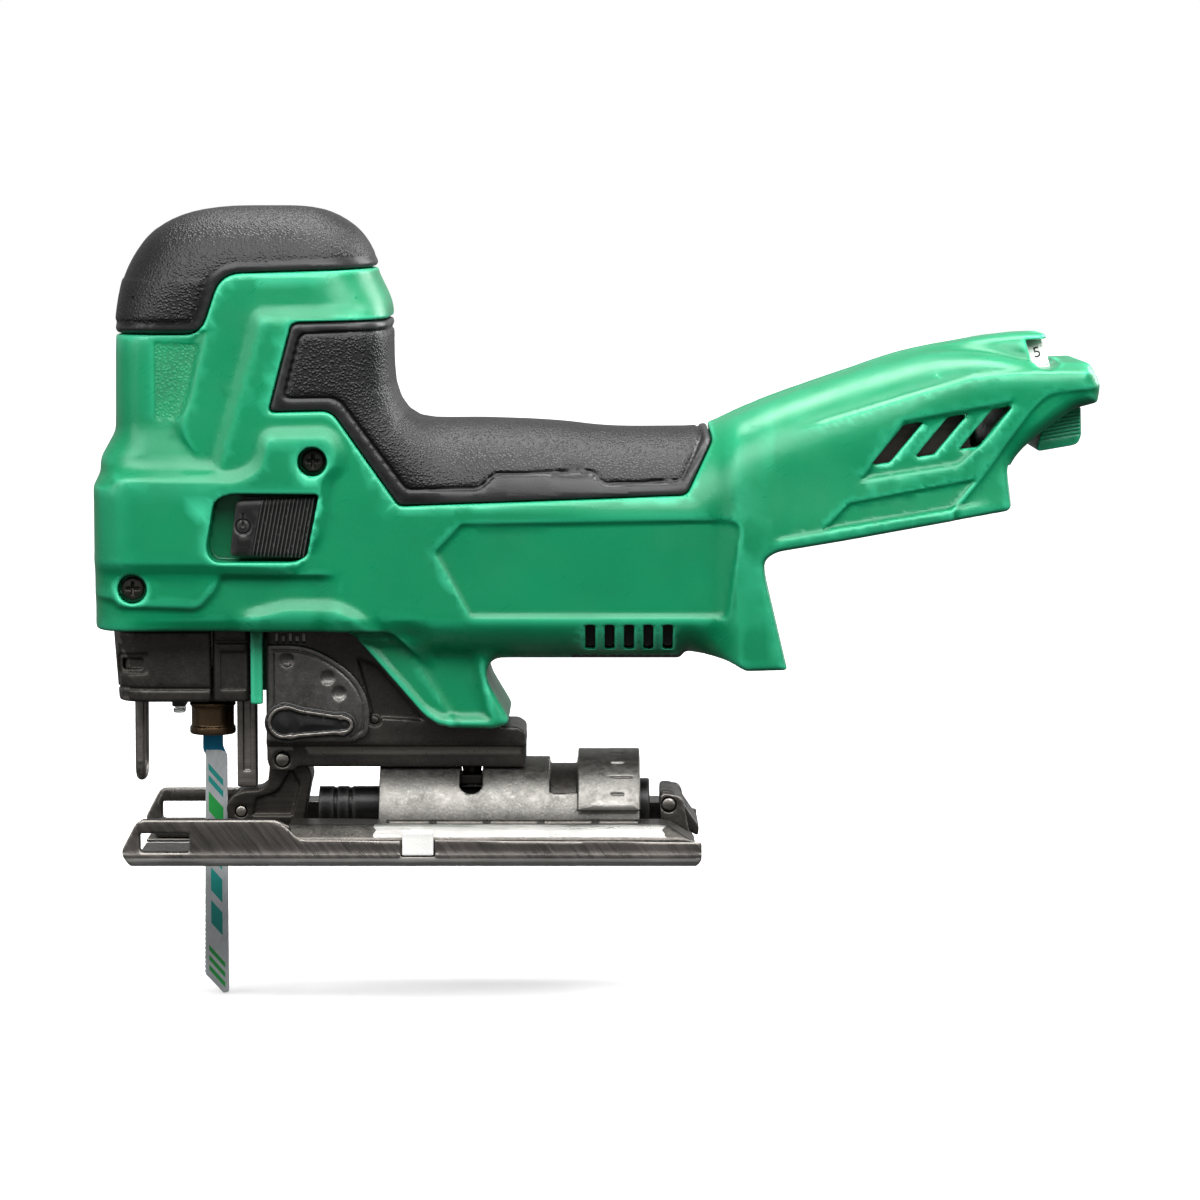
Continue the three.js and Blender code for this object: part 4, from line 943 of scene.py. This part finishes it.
def selector_outline(x, z):
    hub = np.hypot(x - SELECTOR_AT[0], z - SELECTOR_AT[1]) - 5.8
    tip = np.hypot(x + 20.4, z - 39.6) - 3.6
    bar = poly_distance(x, z, [(-37.2, 34.7), (-19.8, 36.1), (-20.6, 43.2), (-38.6, 46)])
    return union(hub, tip, bar, k=2.0)


def selector_lever(g):
    d = selector_outline(g.x, g.z)
    out = -18.6 - 0.55 * ease((0.75 - np.abs(d + SELECTOR_RIM)) / 0.4) - 0.3 * ease((-d - 2.4) / 2.5)
    knob = both(d, span(g.y, np.maximum(out, -19.15), -16.5), k=0.4)
    return union(knob, g.rod("y", 3, -17.4, BRACKET_HALF, SELECTOR_AT, k=0.3))


def bracket():
    made = build("base_bracket", "dark_casting", base_bracket, 0.4, ["dark_casting", "steel"])
    paint(made, 1, lambda x, y, z: (
        (x < -31) & (np.abs(z - 65.4) < 1.6) & (np.abs(np.abs(y) - BRACKET_HALF + 0.4) < 0.2)))
    build("orbit_detent_plate", "casting", detent_plate, 0.2, ["plate"])
    lever = build("orbit_selector_lever", "black_plastic", selector_lever, 0.22, ["black_plastic", "steel"])
    # The raised rim round the outline is painted steel as a painted highlight.
    paint(lever, 1, lambda x, y, z: (np.abs(selector_outline(x, z) + SELECTOR_RIM) < 0.42) & (y < -18.8))


# ---- orbit linkage
ROLLER_AT = (-52.1, 12.4)
ROLLER_ARM_SIDE = [
    (-55.4, 8.4, 3), (-33.5, 8.6, 2), (-31.5, 19.5), (-30.6, 23, 2), (-35.4, 32.6, 3), (-43, 32.6, 4),
    (-44, 21, 2), (-46.5, 18.6, 2), (-53, 18.4, 4), (-57, 14.5, 3),
]
ROLLER_ARM_WEB = [
    (-49, 10.8, 1), (-36.5, 10.8, 1), (-34, 20.5, 1), (-37, 26, 1), (-41.5, 18.5, 2), (-48, 16.5, 1),
]


def roller_arm(g):
    face = 7.9 - 0.9 * step_in(g.side(ROLLER_ARM_WEB), 0.8)
    made = both(g.side(ROLLER_ARM_SIDE), np.abs(g.y) - face, k=0.6)
    made = cut(made, g.rod("y", 5.2, -4, 4, ROLLER_AT), g.box(-70, ROLLER_AT[0], -4, 4, 0, 15.6), k=0.4)
    made = cut(made, g.box(-70, -56.2, -2.2, 2.2, 0, 40), k=0.3)
    return cut(made, g.rod("y", 2.3, -60, 60, ROLLER_PIVOT), g.rod("y", 1.9, -60, 60, ROLLER_AT), k=0.3)


def guide_roller(g):
    radius = g.from_line(ROLLER_AT)
    y = np.abs(g.y)
    tread = 4.2 - 0.9 * np.clip(1 - y / 1.1, 0, 1)
    return both(radius - tread, 1.9 - radius, y - 3.6, k=0.35)


def pin_shape(at, r, half):
    """A crosswise pin with domed, upset ends."""
    def shape(g):
        radius = g.from_line(at)
        return both(radius - r, np.abs(g.y) - half + 0.12 * radius ** 2, k=0.35)
    return shape


def pusher(g):
    made = g.box(-53.6, -47.6, -2.6, 2.6, 18.9, 72, k=0.8)
    flute = both(span(g.x, -51.6, -49.6), 2.1 - np.abs(g.y), span(g.z, 24, 66))
    return cut(made, flute, k=0.3)


def orbit():
    build("roller_arm", "dark_steel", roller_arm, 0.3)
    build("guide_roller", "steel", guide_roller, 0.16)
    build("roller_arm_pin", "steel", pin_shape(ROLLER_PIVOT, 2.0, 12.1), 0.2)
    build("guide_roller_pin", "steel", pin_shape(ROLLER_AT, 1.6, 8.3), 0.16)
    build("orbit_pusher", "steel", pusher, 0.25)


# ---- base
SOLE_HALF_LENGTH, SOLE_HALF_WIDTH, SOLE_SHEET = 85.4, 38.5, 1.2
SOLE_BEND = 1.6
RUNNERS_AT = (20, 28.5)
STRIP_TOP, FLANGE_TOP = 7.9, 13.8
FORK_HALF = 13.0
SOLE_WALL_SIDE = [
    (-82.6, 0, 1), (84, 0, 1), (SOLE_HALF_LENGTH, 2, 0.5), (SOLE_HALF_LENGTH, STRIP_TOP - 0.6, 0.8),
    (7, STRIP_TOP), (7, 3), (-3, 3), (-3, STRIP_TOP - 0.2), (-32.5, STRIP_TOP, 2), (-39, FLANGE_TOP, 2),
    (-80.3, FLANGE_TOP, 2), (-SOLE_HALF_LENGTH, 4, 2),
]
FENCE_SLOT = slab(-79.6, -65.1, 4.4, 9.8, 0.8)


def fork(g):
    return g.prism("z", [(-100, -FORK_HALF), (-16, -FORK_HALF, 3), (-16, FORK_HALF, 3), (-100, FORK_HALF)])


def sole_shoe(g):
    y = np.abs(g.y)
    # The pressed wall has a rolled foot, which base() paints in a brighter steel as a painted highlight,
    # and a shallow swage along it.
    swage = 0.35 * ease((g.z - 3.4) / 0.9)
    thickness = span(y, SOLE_HALF_WIDTH - SOLE_SHEET + 0.05, SOLE_HALF_WIDTH - swage)
    wall = both(g.side(SOLE_WALL_SIDE), thickness, k=0.35)
    sheet = both(g.prism("z", slab(-82.6, 84, -38.1, 38.1, 2)), span(g.z, 0, SOLE_SHEET), k=0.3)
    made = union(wall, sheet, k=0.8)
    bend = SOLE_BEND
    corner = np.hypot(np.maximum(y - (SOLE_HALF_WIDTH - bend), 0), np.maximum(bend - g.z, 0)) - bend
    made = both(made, corner)
    made = cut(made, fork(g), g.side(FENCE_SLOT), k=0.4)
    # Long runners pressed into the sole's underside.
    for at in RUNNERS_AT:
        made = cut(made, both(np.abs(y - at) - 0.8, np.abs(g.x - 2) - 74, g.z - 0.35), k=0.3)
    return made


CAST_HALF = SOLE_HALF_WIDTH - SOLE_SHEET - 0.3
CAST_FLOOR, CAST_TOP = 3.8, 12.0
BEVEL_FROM = 32.6
CAST_SIDE = [
    (-80, 1.5), (83.6, 1.5), (83.6, 7, 1), (75, CAST_TOP, 2), (-36, CAST_TOP), (-40, FLANGE_TOP, 1),
    (-79.4, FLANGE_TOP, 1), (-81.5, 9.5, 1),
]
POCKET_Y = 26.6
RIBS_AT = (6, 22, 38, 54)
LOCK_AT = (76.0, 15.5)
LOCK_HALF = 12.0


def base_casting(g):
    x, y, z = g.x, np.abs(g.y), g.z
    side = g.side(CAST_SIDE)
    section = np.interp(y, [0, BEVEL_FROM, CAST_HALF], [CAST_TOP, CAST_TOP, 8.0]).astype(np.float32)
    section = section - 1.8 * step_in(both(np.abs(x - 30) - 38, np.abs(y - POCKET_Y) - 3.4), 1.2)
    rear = both(side, y - CAST_HALF, z - section, k=0.8)
    rear = both(rear, -36.2 - x)
    rails_up = both(side, y - CAST_HALF, CAST_HALF - 3 - y, k=0.7)
    floor = both(side, y - CAST_HALF, z - CAST_FLOOR, k=0.5)
    front = both(union(rails_up, floor, k=0.8), x + 35.8)
    made = union(rear, front, k=0.3)
    made = cut(made, g.box(-60, -12, -19, 19, CAST_FLOOR, 30), k=0.8)
    made = cut(made, g.rod("x", SADDLE_R + 0.3, -12, 100, (0, TILT_AXIS_Z)), k=0.6)
    along = union(*[np.abs(x - at) - 0.8 for at in RIBS_AT])
    ribs = both(along, np.abs(y - POCKET_Y) - 4.0, z - section - 1.3, side, 4 - z)
    made = union(made, ribs, k=0.6)
    plate = g.box(-16, 83.6, -19.7, 19.7, 1.5, CAST_FLOOR)
    made = union(made, plate, k=0.3)
    made = cut(made, fork(g), g.side(FENCE_SLOT), k=0.5)
    ear_side = [(73.6, 3), (83, 3), (80, 18, 2), (73.4, 19, 2)]
    ear = both(g.side(ear_side), span(y, LOCK_HALF + 0.3, LOCK_HALF + 4), k=0.5)
    return cut(union(made, ear, k=0.8), g.rod("y", 2.3, -60, 60, LOCK_AT), k=0.2)


TUBE_FRONT, TUBE_REAR, TUBE_WALL = -10.4, 67.4, 3.4
TUBE_FLANGE = 48.9
WINDOW_X, WINDOW_REACH = 44.6, 56
BOLT_X = 17.0
BOLT_SLOT = (16.4, 3.4)  # reach round the tube to each side, and half width
MARK_X, MARK_STEP, MARK_END = 58.6, 15, 60
MM_PER_DEGREE = math.radians(1) * (SADDLE_R + 2.4)


def half_tube(g):
    x, z = g.x, g.z
    radius = np.hypot(g.y, z - TILT_AXIS_Z)
    angle = np.degrees(np.arctan2(g.y, z - TILT_AXIS_Z))
    from_top = np.abs(angle)
    tube = both(radius - SADDLE_R, span(x, TUBE_FRONT, TUBE_REAR), k=0.6)
    flange = both(radius - SADDLE_R - 2.4, span(x, TUBE_FLANGE, TUBE_REAR), k=0.5)
    made = union(tube, both(flange, 14.4 - z), k=0.5)
    made = cut(made, radius - SADDLE_R + TUBE_WALL, k=0.3)
    made = both(made, 4.1 - z, k=0.3)
    past_slot = np.maximum(np.radians(from_top) * SADDLE_R - BOLT_SLOT[0], 0)
    made = cut(made, np.hypot(x - BOLT_X, past_slot) - BOLT_SLOT[1], k=0.4)
    window = both(np.abs(x - WINDOW_X) - 4.05, (from_top - WINDOW_REACH) * 0.35, SADDLE_R - 2.0 - radius)
    made = cut(made, window, k=0.4)
    # Angle marks across the rear flange; the longer ones are 45 degrees apart.
    for mark in range(-MARK_END, MARK_END + 1, MARK_STEP):
        length = 6.5 if mark % 45 == 0 else 4.0
        across = np.abs(angle - mark) * MM_PER_DEGREE - 0.3
        made = cut(made, both(across, span(x, MARK_X, MARK_X + length), SADDLE_R + 1.95 - radius), k=0.2)
    return made


DUCT_Z = 13.4
DUCT_GROOVES = (-24, -19.5)
CLIP_X, CLIP_TOP = 2, 10.6


def clamp_bolt(g):
    head = np.maximum(np.abs(g.x - BOLT_X), np.abs(g.y)) - 5
    radius = np.hypot(g.x - BOLT_X, g.y)
    head = both(head, radius - 6.3, span(g.z, 19.9, 23.2), k=0.5)
    thread = 3 - 0.25 * (0.5 + 0.5 * np.sin(g.z * 2 * math.pi / 1.25))
    return union(head, both(radius - thread, span(g.z, 21, 42), k=0.2))


def dust_duct(g):
    radius = np.hypot(g.y, g.z - DUCT_Z)
    pipe = both(radius - 5.6, span(g.x, -29, 69))
    collar = both(radius - 8, span(g.x, 65, 70.4), k=0.6)
    made = union(pipe, collar, k=0.8)
    for x in DUCT_GROOVES:
        made = cut(made, both(np.abs(g.x - x) - 0.5, 5.2 - radius), k=0.3)
    return cut(made, radius - 4.2, k=0.4)


def shoe_clip(g):
    y = np.abs(g.y)
    length = np.abs(g.x - CLIP_X) - 4.6
    plate = both(length, span(y, 37.35, 38.4), span(g.z, 3.3, CLIP_TOP), k=0.4)
    hook = both(length, span(y, 35.4, 38.4), span(g.z, 9.2, CLIP_TOP), k=0.4)
    return union(plate, hook, k=0.3)


LOCK_SIDE = [
    (73.4, 12.4, 1), (80, 8.2, 1), (84.8, 5.4, 1), (85.2, 8.4, 1), (80.4, 15.4, 2), (77.5, 19.2, 2),
    (73.4, 19.2, 1.5),
]


def lock_lever(g):
    made = both(g.side(LOCK_SIDE), np.abs(g.y) - LOCK_HALF, k=0.8)
    down, out = g.tilted((80.4, 15.4), -52)
    rib = np.abs(np.mod(down + 0.9, 1.8) - 0.9) - 0.35
    ribs = both(rib, np.abs(down - 2.6) - 3.4, np.abs(g.y) - 9, -0.5 - out)
    made = cut(made, ribs, k=0.25)
    return cut(made, g.rod("y", 2.3, -60, 60, LOCK_AT), k=0.2)


def base():
    shoe = build("sole_shoe", "steel", sole_shoe, 0.33, ["ground_steel", "bright_steel"])
    # The rolled foot of the wall is painted in a brighter steel as a painted highlight.
    paint(shoe, 1, lambda x, y, z: (np.abs(y) > 37.2) & (z < 2.6) & (z > 0.2))
    made = build("base_casting", "casting", base_casting, 0.42, ["base_casting", "bevel_highlight"])
    # The outer bevel is painted in a bright steel as a painted highlight.
    paint(made, 1, lambda x, y, z: (np.abs(y) > BEVEL_FROM + 0.1) & (z > 8.4) & (np.abs(x - 32) < 43))
    tube = build("base_half_tube", "casting", half_tube, 0.36, ["casting", "dark_casting"])
    # Faces inside the window notch take the dark casting as painted shade.
    paint(tube, 1, lambda x, y, z: (
        (np.abs(x - WINDOW_X) < 4) & (np.hypot(y, z - TILT_AXIS_Z) < SADDLE_R - 1.6)))
    build("base_clamp_bolt", "dark_steel", clamp_bolt, 0.25)
    build("dust_duct", "black_plastic", dust_duct, 0.35)
    for side in SIDES:
        build("shoe_clip_" + side, "dial_white", shoe_clip, 0.18)
    build("base_lock_lever", "black_plastic", lock_lever, 0.25, ["dark_casting"])
    build("lock_lever_pin", "steel", pin_shape(LOCK_AT, 2.0, 17.0), 0.2)


# ---- blade and clamp
BLADE_FRONT = -64.0
TEETH_TOP = 28.0
TOOTH_PITCH = 1.4
CLAMP_SLOT = (-64.4, -57.6, -0.95, 0.95, 20, 50.4)
BLADE_SIDE = [
    (-64, -38), (-60.5, -41.6, 0.5), (-58.4, -44, 0.5), (-56.7, -43.6, 0.5), (-56.7, 28.6, 1),
    (-58, 31, 1), (-58, 50), (-64, 50), (-64, 30, 1), (-63.2, 28.6),
]


def saw_blade(g):
    made = both(g.side(BLADE_SIDE), np.abs(g.y) - 0.6, k=0.12)
    # Teeth: the front edge runs out and down to each point, then cuts straight back.
    tooth = (g.z - TEETH_TOP) / TOOTH_PITCH
    phase = np.mod(tooth, 1)
    turn = np.where(np.floor(tooth) % 2 == 0, 1.0, -1.0)
    rake = 0.15
    depth = np.where(phase < rake, 0.9 * (1 - phase / rake), (phase - rake) / (1 - rake))
    edge = BLADE_FRONT - 0.3 + 0.75 * depth
    bevel = 0.25 * turn * g.y * (g.x - edge < 1.2)
    return both(made, union(edge - g.x + bevel, TEETH_TOP - g.z))


STRIPE_LEAN = -1.14
STRIPE_X = -60.2
STRIPE_Y = (0.57, 0.612)
BOX_FACES = ((0, 1, 2, 3), (7, 6, 5, 4), (0, 4, 5, 1), (1, 5, 6, 2), (2, 6, 7, 3), (3, 7, 4, 0))
# Stripes on the blade: where each starts, its height and its half width.
STRIPES = {
    "ink_green": ((-39.6, 1.6, 2.4), (-36.6, 1.6, 2.4), (-33.6, 1.6, 2.4), (9.0, 6.0, 2.2)),
    "ink_teal": (
        (-24.5, 7.0, 1.7), (-14.5, 7.0, 1.7), (-4.5, 7.0, 1.7), (18.0, 2.0, 2.2), (21.5, 2.0, 2.2)),
}


def stripe_plates(bars):
    """Thin slanted plates on both faces of the blade, in place of print."""
    points, faces = [], []
    for start, height, half in bars:
        for flank in (-1, 1):
            first = len(points)
            for y in sorted(flank * at for at in STRIPE_Y):
                for u, v in ((-half, 0), (half, 0), (half, height), (-half, height)):
                    points.append(Vector((STRIPE_X + u, y, start + v + STRIPE_LEAN * u)) * MM)
            faces += [[first + i for i in face] for face in BOX_FACES]
    mesh = bpy.data.meshes.new("stripes")
    mesh.from_pydata(points, [], faces)
    return mesh


def clamp_collar(g):
    radius = np.hypot(g.x - PLUNGER[0], g.y)
    waist = 6.9 - 0.5 * ease((g.z - 37) / 0.8) * ease((44 - g.z) / 0.8)
    made = both(radius - waist, span(g.z, 35, 45), k=0.9)
    return cut(made, g.box(*CLAMP_SLOT), k=0.3)


def clamp_body(g):
    radius = np.hypot(g.x - PLUNGER[0], g.y)
    made = both(radius - 7.1, span(g.z, 45.3, 55), k=0.7)
    made = cut(made, both(np.abs(g.z - 50.2) - 0.8, 6.5 - radius), k=0.4)
    return cut(made, g.box(*CLAMP_SLOT), k=0.3)


def blade():
    made = build("saw_blade", "steel", saw_blade, 0.13, ["blade_steel", "ink_blue"])
    paint(made, 1, lambda x, y, z: z > 29.6)
    for look, bars in STRIPES.items():
        plates = bpy.data.objects.new("blade_" + look, stripe_plates(bars))
        bpy.context.scene.collection.objects.link(plates)
        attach(plates, "plunger")
        dress(plates, look)
    build("blade_clamp_collar", "bronze", clamp_collar, 0.2)
    build("blade_clamp_body", "dark_steel", clamp_body, 0.22)


# ---- rear: latch block and speed dial
LATCH_SIDE = [
    (184, 120.9, 2), (196.6, 123.1, 2), (197.6, 126), (197.4, 134), (194.8, 133.3), (186.2, 128, 2),
]
LATCH_GROOVES = 7


def latch_block(g):
    made = both(g.side(LATCH_SIDE), np.abs(g.y) - 20, k=0.8)
    for i in range(LATCH_GROOVES):
        groove = both(np.abs(g.z - 125.2 - 1.1 * i - 0.16 * (g.x - 190)) - 0.2, 19.75 - np.abs(g.y))
        made = cut(made, groove, k=0.2)
    return made


DIAL_R, DIAL_HALF = 9.5, 3.6
DIAL_TEETH = 36
NUMBERS, SHOWN_NUMBER, NUMBER_STEP = 6, 5, 45
SHOWN_ROLL = 28  # degrees down from the left, where the number in the notch sits
NUMBER_SIZE, NUMBER_SHIFT = 4.8, 0.9


def speed_dial(g):
    along, up = g.tilted(DIAL_AT, DIAL_TILT)
    radius = np.hypot(up, g.y)
    angle = np.arctan2(g.y, up)
    teeth = 0.35 * (0.5 + 0.5 * np.cos(angle * DIAL_TEETH)) * ease((np.abs(along) - 2.2) / 0.3)
    made = both(radius - DIAL_R + teeth, np.abs(along) - DIAL_HALF, k=0.5)
    return cut(made, both(radius - 7.2, 2.9 - np.abs(along)), k=0.4)


def dial_digits():
    """Raised speed numbers round the dial's rim, read from outside with the dial's rear to the right."""
    tilt = Matrix.Rotation(-math.radians(DIAL_TILT), 4, "Y")
    stand = Matrix.Rotation(math.radians(90), 4, "X")
    made = []
    for number in range(1, NUMBERS + 1):
        curve = bpy.data.curves.new(f"number_{number}", "FONT")
        curve.body = str(number)
        curve.size = NUMBER_SIZE * MM
        curve.extrude = 0.1 * MM
        curve.align_x = "CENTER"
        curve.align_y = "CENTER"
        text = bpy.data.objects.new(curve.name, curve)
        bpy.context.scene.collection.objects.link(text)
        bpy.context.view_layer.update()
        depsgraph = bpy.context.evaluated_depsgraph_get()
        mesh = bpy.data.meshes.new_from_object(text.evaluated_get(depsgraph))
        bpy.data.objects.remove(text)
        # Stands the number on the rim, facing the tool's left, then rolls it round the dial.
        roll = math.radians(SHOWN_ROLL - NUMBER_STEP * (number - SHOWN_NUMBER))
        mesh.transform(
            Matrix.Translation(Vector((DIAL_AT[0], 0, DIAL_AT[1])) * MM) @ tilt
            @ Matrix.Rotation(-roll, 4, "X")
            @ Matrix.Translation(Vector((NUMBER_SHIFT, -DIAL_R, 0)) * MM) @ stand)
        made.append(mesh)
    digits = bpy.data.objects.new("dial_digits", made[0])
    bpy.context.scene.collection.objects.link(digits)
    joined = bmesh.new()
    for mesh in made:
        joined.from_mesh(mesh)
    bmesh.ops.remove_doubles(joined, verts=joined.verts, dist=1e-6)
    joined.to_mesh(digits.data)
    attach(digits, "speed_dial")
    dress(digits, "ink_black")


def rear():
    build("latch_block", "housing_green", latch_block, 0.3)
    build("speed_dial", "dial_white", speed_dial, 0.22)
    dial_digits()


# ---- pieces kept from the CAD, inside the housing
INSIDE = {
    "dark_steel": ("motor_stator", "rotor_core", "controller_module"),
    "steel": (
        "motor_bearing_front", "motor_bearing_rear", "rotor_shaft", "crank_gear", "plunger_rod",
        "plunger_yoke"),
    "casting": ("gear_case",),
    "bronze": ("plunger_bush_lower", "plunger_bush_upper"),
    "black_plastic": ("cooling_fan", "switch_link", "switch_module", "terminal_holder"),
    "copper": ("battery_terminal_1", "battery_terminal_2", "battery_terminal_3"),
}
BEVEL_WIDTH, BEVEL_ANGLE = 0.25, 35


def inside():
    for look, nodes in INSIDE.items():
        for node in nodes:
            obj = dress(NODES[node], look)
            edge = obj.modifiers.new("edge", "BEVEL")
            edge.width = BEVEL_WIDTH * MM
            edge.segments = 2
            edge.limit_method = "ANGLE"
            edge.angle_limit = math.radians(BEVEL_ANGLE)
            edge.harden_normals = True
            obj.data.shade_smooth()


# ---- stage, lights and camera
FLOOR_Z = CAD_BOX[0][2] - 0.0004
FLOOR_REACH = 6.0
FLOOR_GLOW = (150, 1200, 0.24, 1.0)  # from this many mm away to that many, and from this strength to that
SKY_GLOW = (-0.35, 0.1, 0.08, 0.42)  # from this upward slope to that, and from this strength to that
WHITE = (1, 1, 1, 1)
CENTRE = (0.05, 0, 0.08)
LAMPS = {  # place, aim, size and power
    "key": ((0.05, -0.38, 0.5), (0.05, 0, 0.14), (1.1, 0.38), 8.5),
    "top": ((0.1, 0.1, 0.75), CENTRE, (0.7, 0.3), 7.5),
    "rim": ((0.7, 0.45, 0.45), CENTRE, (0.4, 0.6), 6),
    "front": ((-0.9, -0.55, 0.45), CENTRE, (0.3, 0.5), 2.0),
}
CAMERA_AT = (0.0555, -1.4089, 0.2010)
CAMERA_DOWN = 5.1  # degrees below level
CAMERA_LENS = 141.3


def lamp(name, at, aim, size, power):
    data = bpy.data.lights.new(name, "AREA")
    data.shape = "RECTANGLE"
    data.size, data.size_y = size
    data.energy = power
    obj = bpy.data.objects.new(name, data)
    obj.location = at
    obj.rotation_euler = (Vector(aim) - Vector(at)).to_track_quat("-Z", "Y").to_euler()
    bpy.context.scene.collection.objects.link(obj)


def studio_air():
    """White behind the object, and a softer light on it that fades from overhead to below."""
    world = bpy.data.worlds.new("studio")
    world.use_nodes = True
    nodes, links = world.node_tree.nodes, world.node_tree.links
    fill = nodes["Background"]
    across = nodes.new("ShaderNodeSeparateXYZ")
    links.new(nodes.new("ShaderNodeTexCoord").outputs["Generated"], across.inputs["Vector"])
    fade = nodes.new("ShaderNodeMapRange")
    for socket, number in zip(RANGE, SKY_GLOW):
        fade.inputs[socket].default_value = number
    links.new(across.outputs["Z"], fade.inputs["Value"])
    links.new(fade.outputs["Result"], fill.inputs["Strength"])
    backdrop = nodes.new("ShaderNodeBackground")
    for background in (fill, backdrop):
        background.inputs["Color"].default_value = WHITE
    choice = nodes.new("ShaderNodeMixShader")
    links.new(nodes.new("ShaderNodeLightPath").outputs["Is Camera Ray"], choice.inputs["Fac"])
    links.new(fill.outputs["Background"], choice.inputs[1])
    links.new(backdrop.outputs["Background"], choice.inputs[2])
    links.new(choice.outputs["Shader"], nodes["World Output"].inputs["Surface"])
    backdrop.inputs["Strength"].default_value = 1.0
    bpy.context.scene.world = world


def stage():
    mesh = bpy.data.meshes.new("floor")
    corners = [(x * FLOOR_REACH, y * FLOOR_REACH, 0) for x, y in ((-1, -1), (1, -1), (1, 1), (-1, 1))]
    mesh.from_pydata(corners, [], [(0, 1, 2, 3)])
    floor = bpy.data.objects.new("floor", mesh)
    floor.location.z = FLOOR_Z
    floor.visible_diffuse = False
    floor.visible_glossy = False
    bpy.context.scene.collection.objects.link(floor)
    look = Look("floor", (0.93, 0.93, 0.93, 1), 0.8, Emission_Color=WHITE)
    away = look.nodes.new("ShaderNodeVectorMath")
    away.operation = "LENGTH"
    look.links.new(look.mm, away.inputs[0])
    glow = look.grade(away.outputs["Value"], *FLOOR_GLOW)
    look.links.new(glow, look.shader.inputs["Emission Strength"])
    floor.data.materials.append(look.done())
    studio_air()
    for name, (at, aim, size, power) in LAMPS.items():
        lamp(name, at, aim, size, power)


def camera():
    data = bpy.data.cameras.new("camera")
    data.sensor_width = 36
    data.lens = CAMERA_LENS
    data.clip_start = 0.05
    obj = bpy.data.objects.new("camera", data)
    obj.location = CAMERA_AT
    obj.rotation_euler = (math.radians(90 - CAMERA_DOWN), 0, 0)
    bpy.context.scene.collection.objects.link(obj)
    bpy.context.scene.camera = obj
    bpy.context.scene.view_settings.view_transform = "Standard"


housing()
screws()
nose()
switch()
bracket()
orbit()
base()
blade()
rear()
inside()
stage()
camera()
